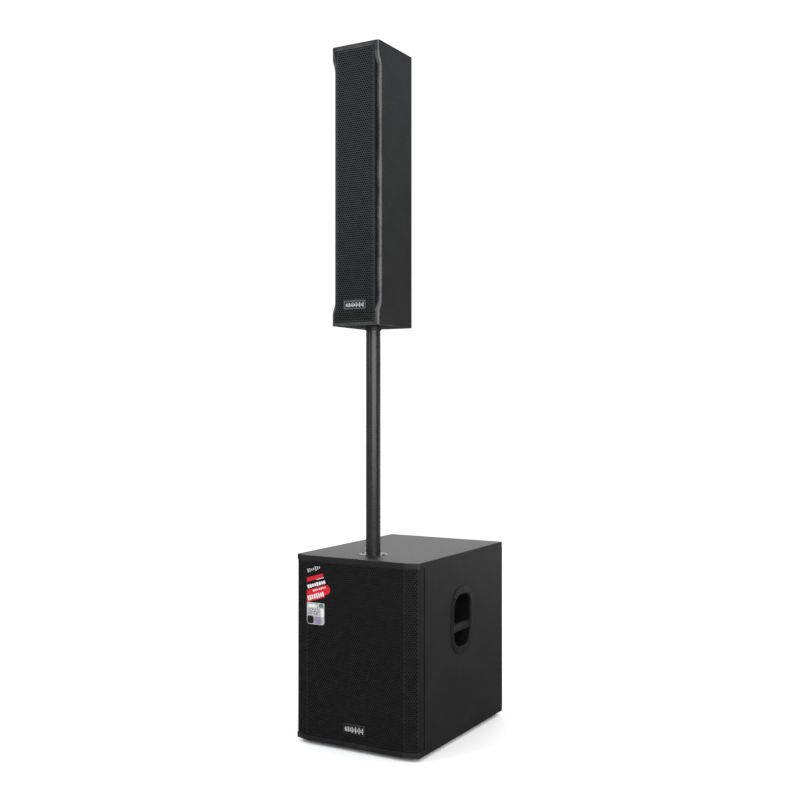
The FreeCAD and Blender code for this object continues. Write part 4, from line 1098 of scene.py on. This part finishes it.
def socket_details():
    """Inserts, contacts, latch tabs and screws of the sockets and their plates, and the plated mains pins."""
    form = bmesh.new()
    low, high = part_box("amp_sockets")
    pitch = (high.x - low.x - FLANGE_WIDE) / 3
    for index in range(4):
        at = facing_rear(high.x - FLANGE_WIDE / 2 - index * pitch, high.y, (low.z + high.z) / 2)
        if index < 2:
            combination_insert(form, at)
        else:
            blade_contacts(form, at)
        socket_fixings(form, at)
    centre = middle("mains_inlet")[0]
    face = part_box("mains_inlet")[1].y
    pin = (2.7 * MM, 5.1 * MM, 0.5 * MM)
    for across, up in MAINS_PINS:
        at = facing_rear(centre.x + across, face, centre.z + up)
        loft(form, [ring(*pin, -18.8 * MM), ring(*pin, -6.8 * MM),
                    ring(1.6 * MM, 4 * MM, 0.4 * MM, -6 * MM)], at)
    finished("amp_contacts", form, [ZINC, FINISHES["socket_plastic"]], "subwoofer", (), 30)
    form = bmesh.new()
    low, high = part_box("connector_sockets")
    for x in (low.x + FLANGE_WIDE / 2, high.x - FLANGE_WIDE / 2):
        at = facing_rear(x, high.y, (low.z + high.z) / 2)
        blade_contacts(form, at)
        socket_fixings(form, at)
    centre = middle("connector_plate")[0]
    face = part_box("connector_plate")[1].y
    for side in (-1, 1):
        for rise in (-1, 1):
            x, z = centre.x + side * PLATE_SCREW[0], centre.z + rise * PLATE_SCREW[1]
            pan_head(form, facing_rear(x, face, z), 0.8, 10 * MM)
    finished("column_contacts", form, [ZINC], "column", (), 30)


def combination_insert(form, at):
    """Moulded insert with three contact sleeves round a jack hole."""
    loft(form, [disc(7.2 * MM, -18.6 * MM), disc(7.2 * MM, -3.4 * MM), disc(6.8 * MM, -3 * MM),
                disc(3.5 * MM, -3 * MM), disc(3.2 * MM, -3.3 * MM), disc(3.2 * MM, -18 * MM)], at, 1)
    for angle in SLEEVE_ANGLES:
        x, y = SLEEVE_REACH * math.cos(angle), SLEEVE_REACH * math.sin(angle)
        loft(form, [disc(1.1 * MM, -3.2 * MM, x, y, 16), disc(1.1 * MM, -2.8 * MM, x, y, 16),
                    disc(0.7 * MM, -2.8 * MM, x, y, 16), disc(0.7 * MM, -6 * MM, x, y, 16)], at)


def blade_contacts(form, at):
    """Two flat contacts beside the centre post."""
    for sign in (-1, 1):
        bar(form, 0, sign * 9.6 * MM, 4 * MM, 1 * MM, -20.6 * MM, -6 * MM, at)


def socket_fixings(form, at):
    """Latch tab at the top of a socket's flange and its two screws."""
    bar(form, 0, 13 * MM, 7 * MM, 3 * MM, -1 * MM, 1 * MM, at)
    for sign in (-1, 1):
        place = Matrix.Translation((sign * SOCKET_SCREW[0], sign * SOCKET_SCREW[1], 0))
        pan_head(form, at @ place, 0.6, 8 * MM)


def rocker_marks():
    """Line and ring moulded into the two ends of the power rocker, riding on it."""
    pivot = next(joint["pos_m"] for joint in frame["joints"] if joint["name"] == "power_rock")
    rocker = axes(pivot, (-1, 0, 0), (0, -math.sin(ROCKER_TILT), math.cos(ROCKER_TILT)))
    form = bmesh.new()
    proud = 0.25 * MM

    def end(sign):
        place = Matrix.Translation((0, sign * ROCKER_END, ROCKER_TOP))
        return rocker @ place @ Matrix.Rotation(sign * ROCKER_FACE, 4, "X")

    bar(form, 0, 0, 0.8 * MM, 3.4 * MM, -0.2 * MM, proud, end(1))
    outer, inner = disc(1.8 * MM, proud, steps=24), disc(1.15 * MM, proud, steps=24)
    sunk = Vector((0, 0, -2 * proud))
    loft(form, [[p + sunk for p in outer], outer, inner, [p + sunk for p in inner]], end(-1), 0, False, False)
    finished("rocker_marks", form, [WHITE_PRINT], "rocker", (), 30)


def drawer_mark():
    """Printed fuse symbol on the drawer: a small box with a line through it."""
    centre = middle("fuse_drawer")[0]
    at = facing_rear(centre.x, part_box("fuse_drawer")[1].y, centre.z)
    form = bmesh.new()
    outline(form, 3 * MM, 8 * MM, at)
    bar(form, 0, 0, PRINT_LINE, 12 * MM, 0, PRINT, at)
    finished("drawer_mark", form, [MARK_PRINT], "drawer", (), 30)


# ---------------------------------------------------------------- putting it together

make_camera()
make_light()
make_floor()
dress_nodes()
grilles()
foams()
badge("sub_badge_plate", "sub_badge", "subwoofer")
badge("column_badge_plate", "column_badge", "column", border=3 * MM, drop=2.4 * MM)
sticker()
handle("right")
handle("left")
screws("cabinet_screw_heads", "cabinet_screws")
for knob, turning in KNOBS.items():
    fluted_knob(knob, turning)
legends()
socket_details()
rocker_marks()
drawer_mark()
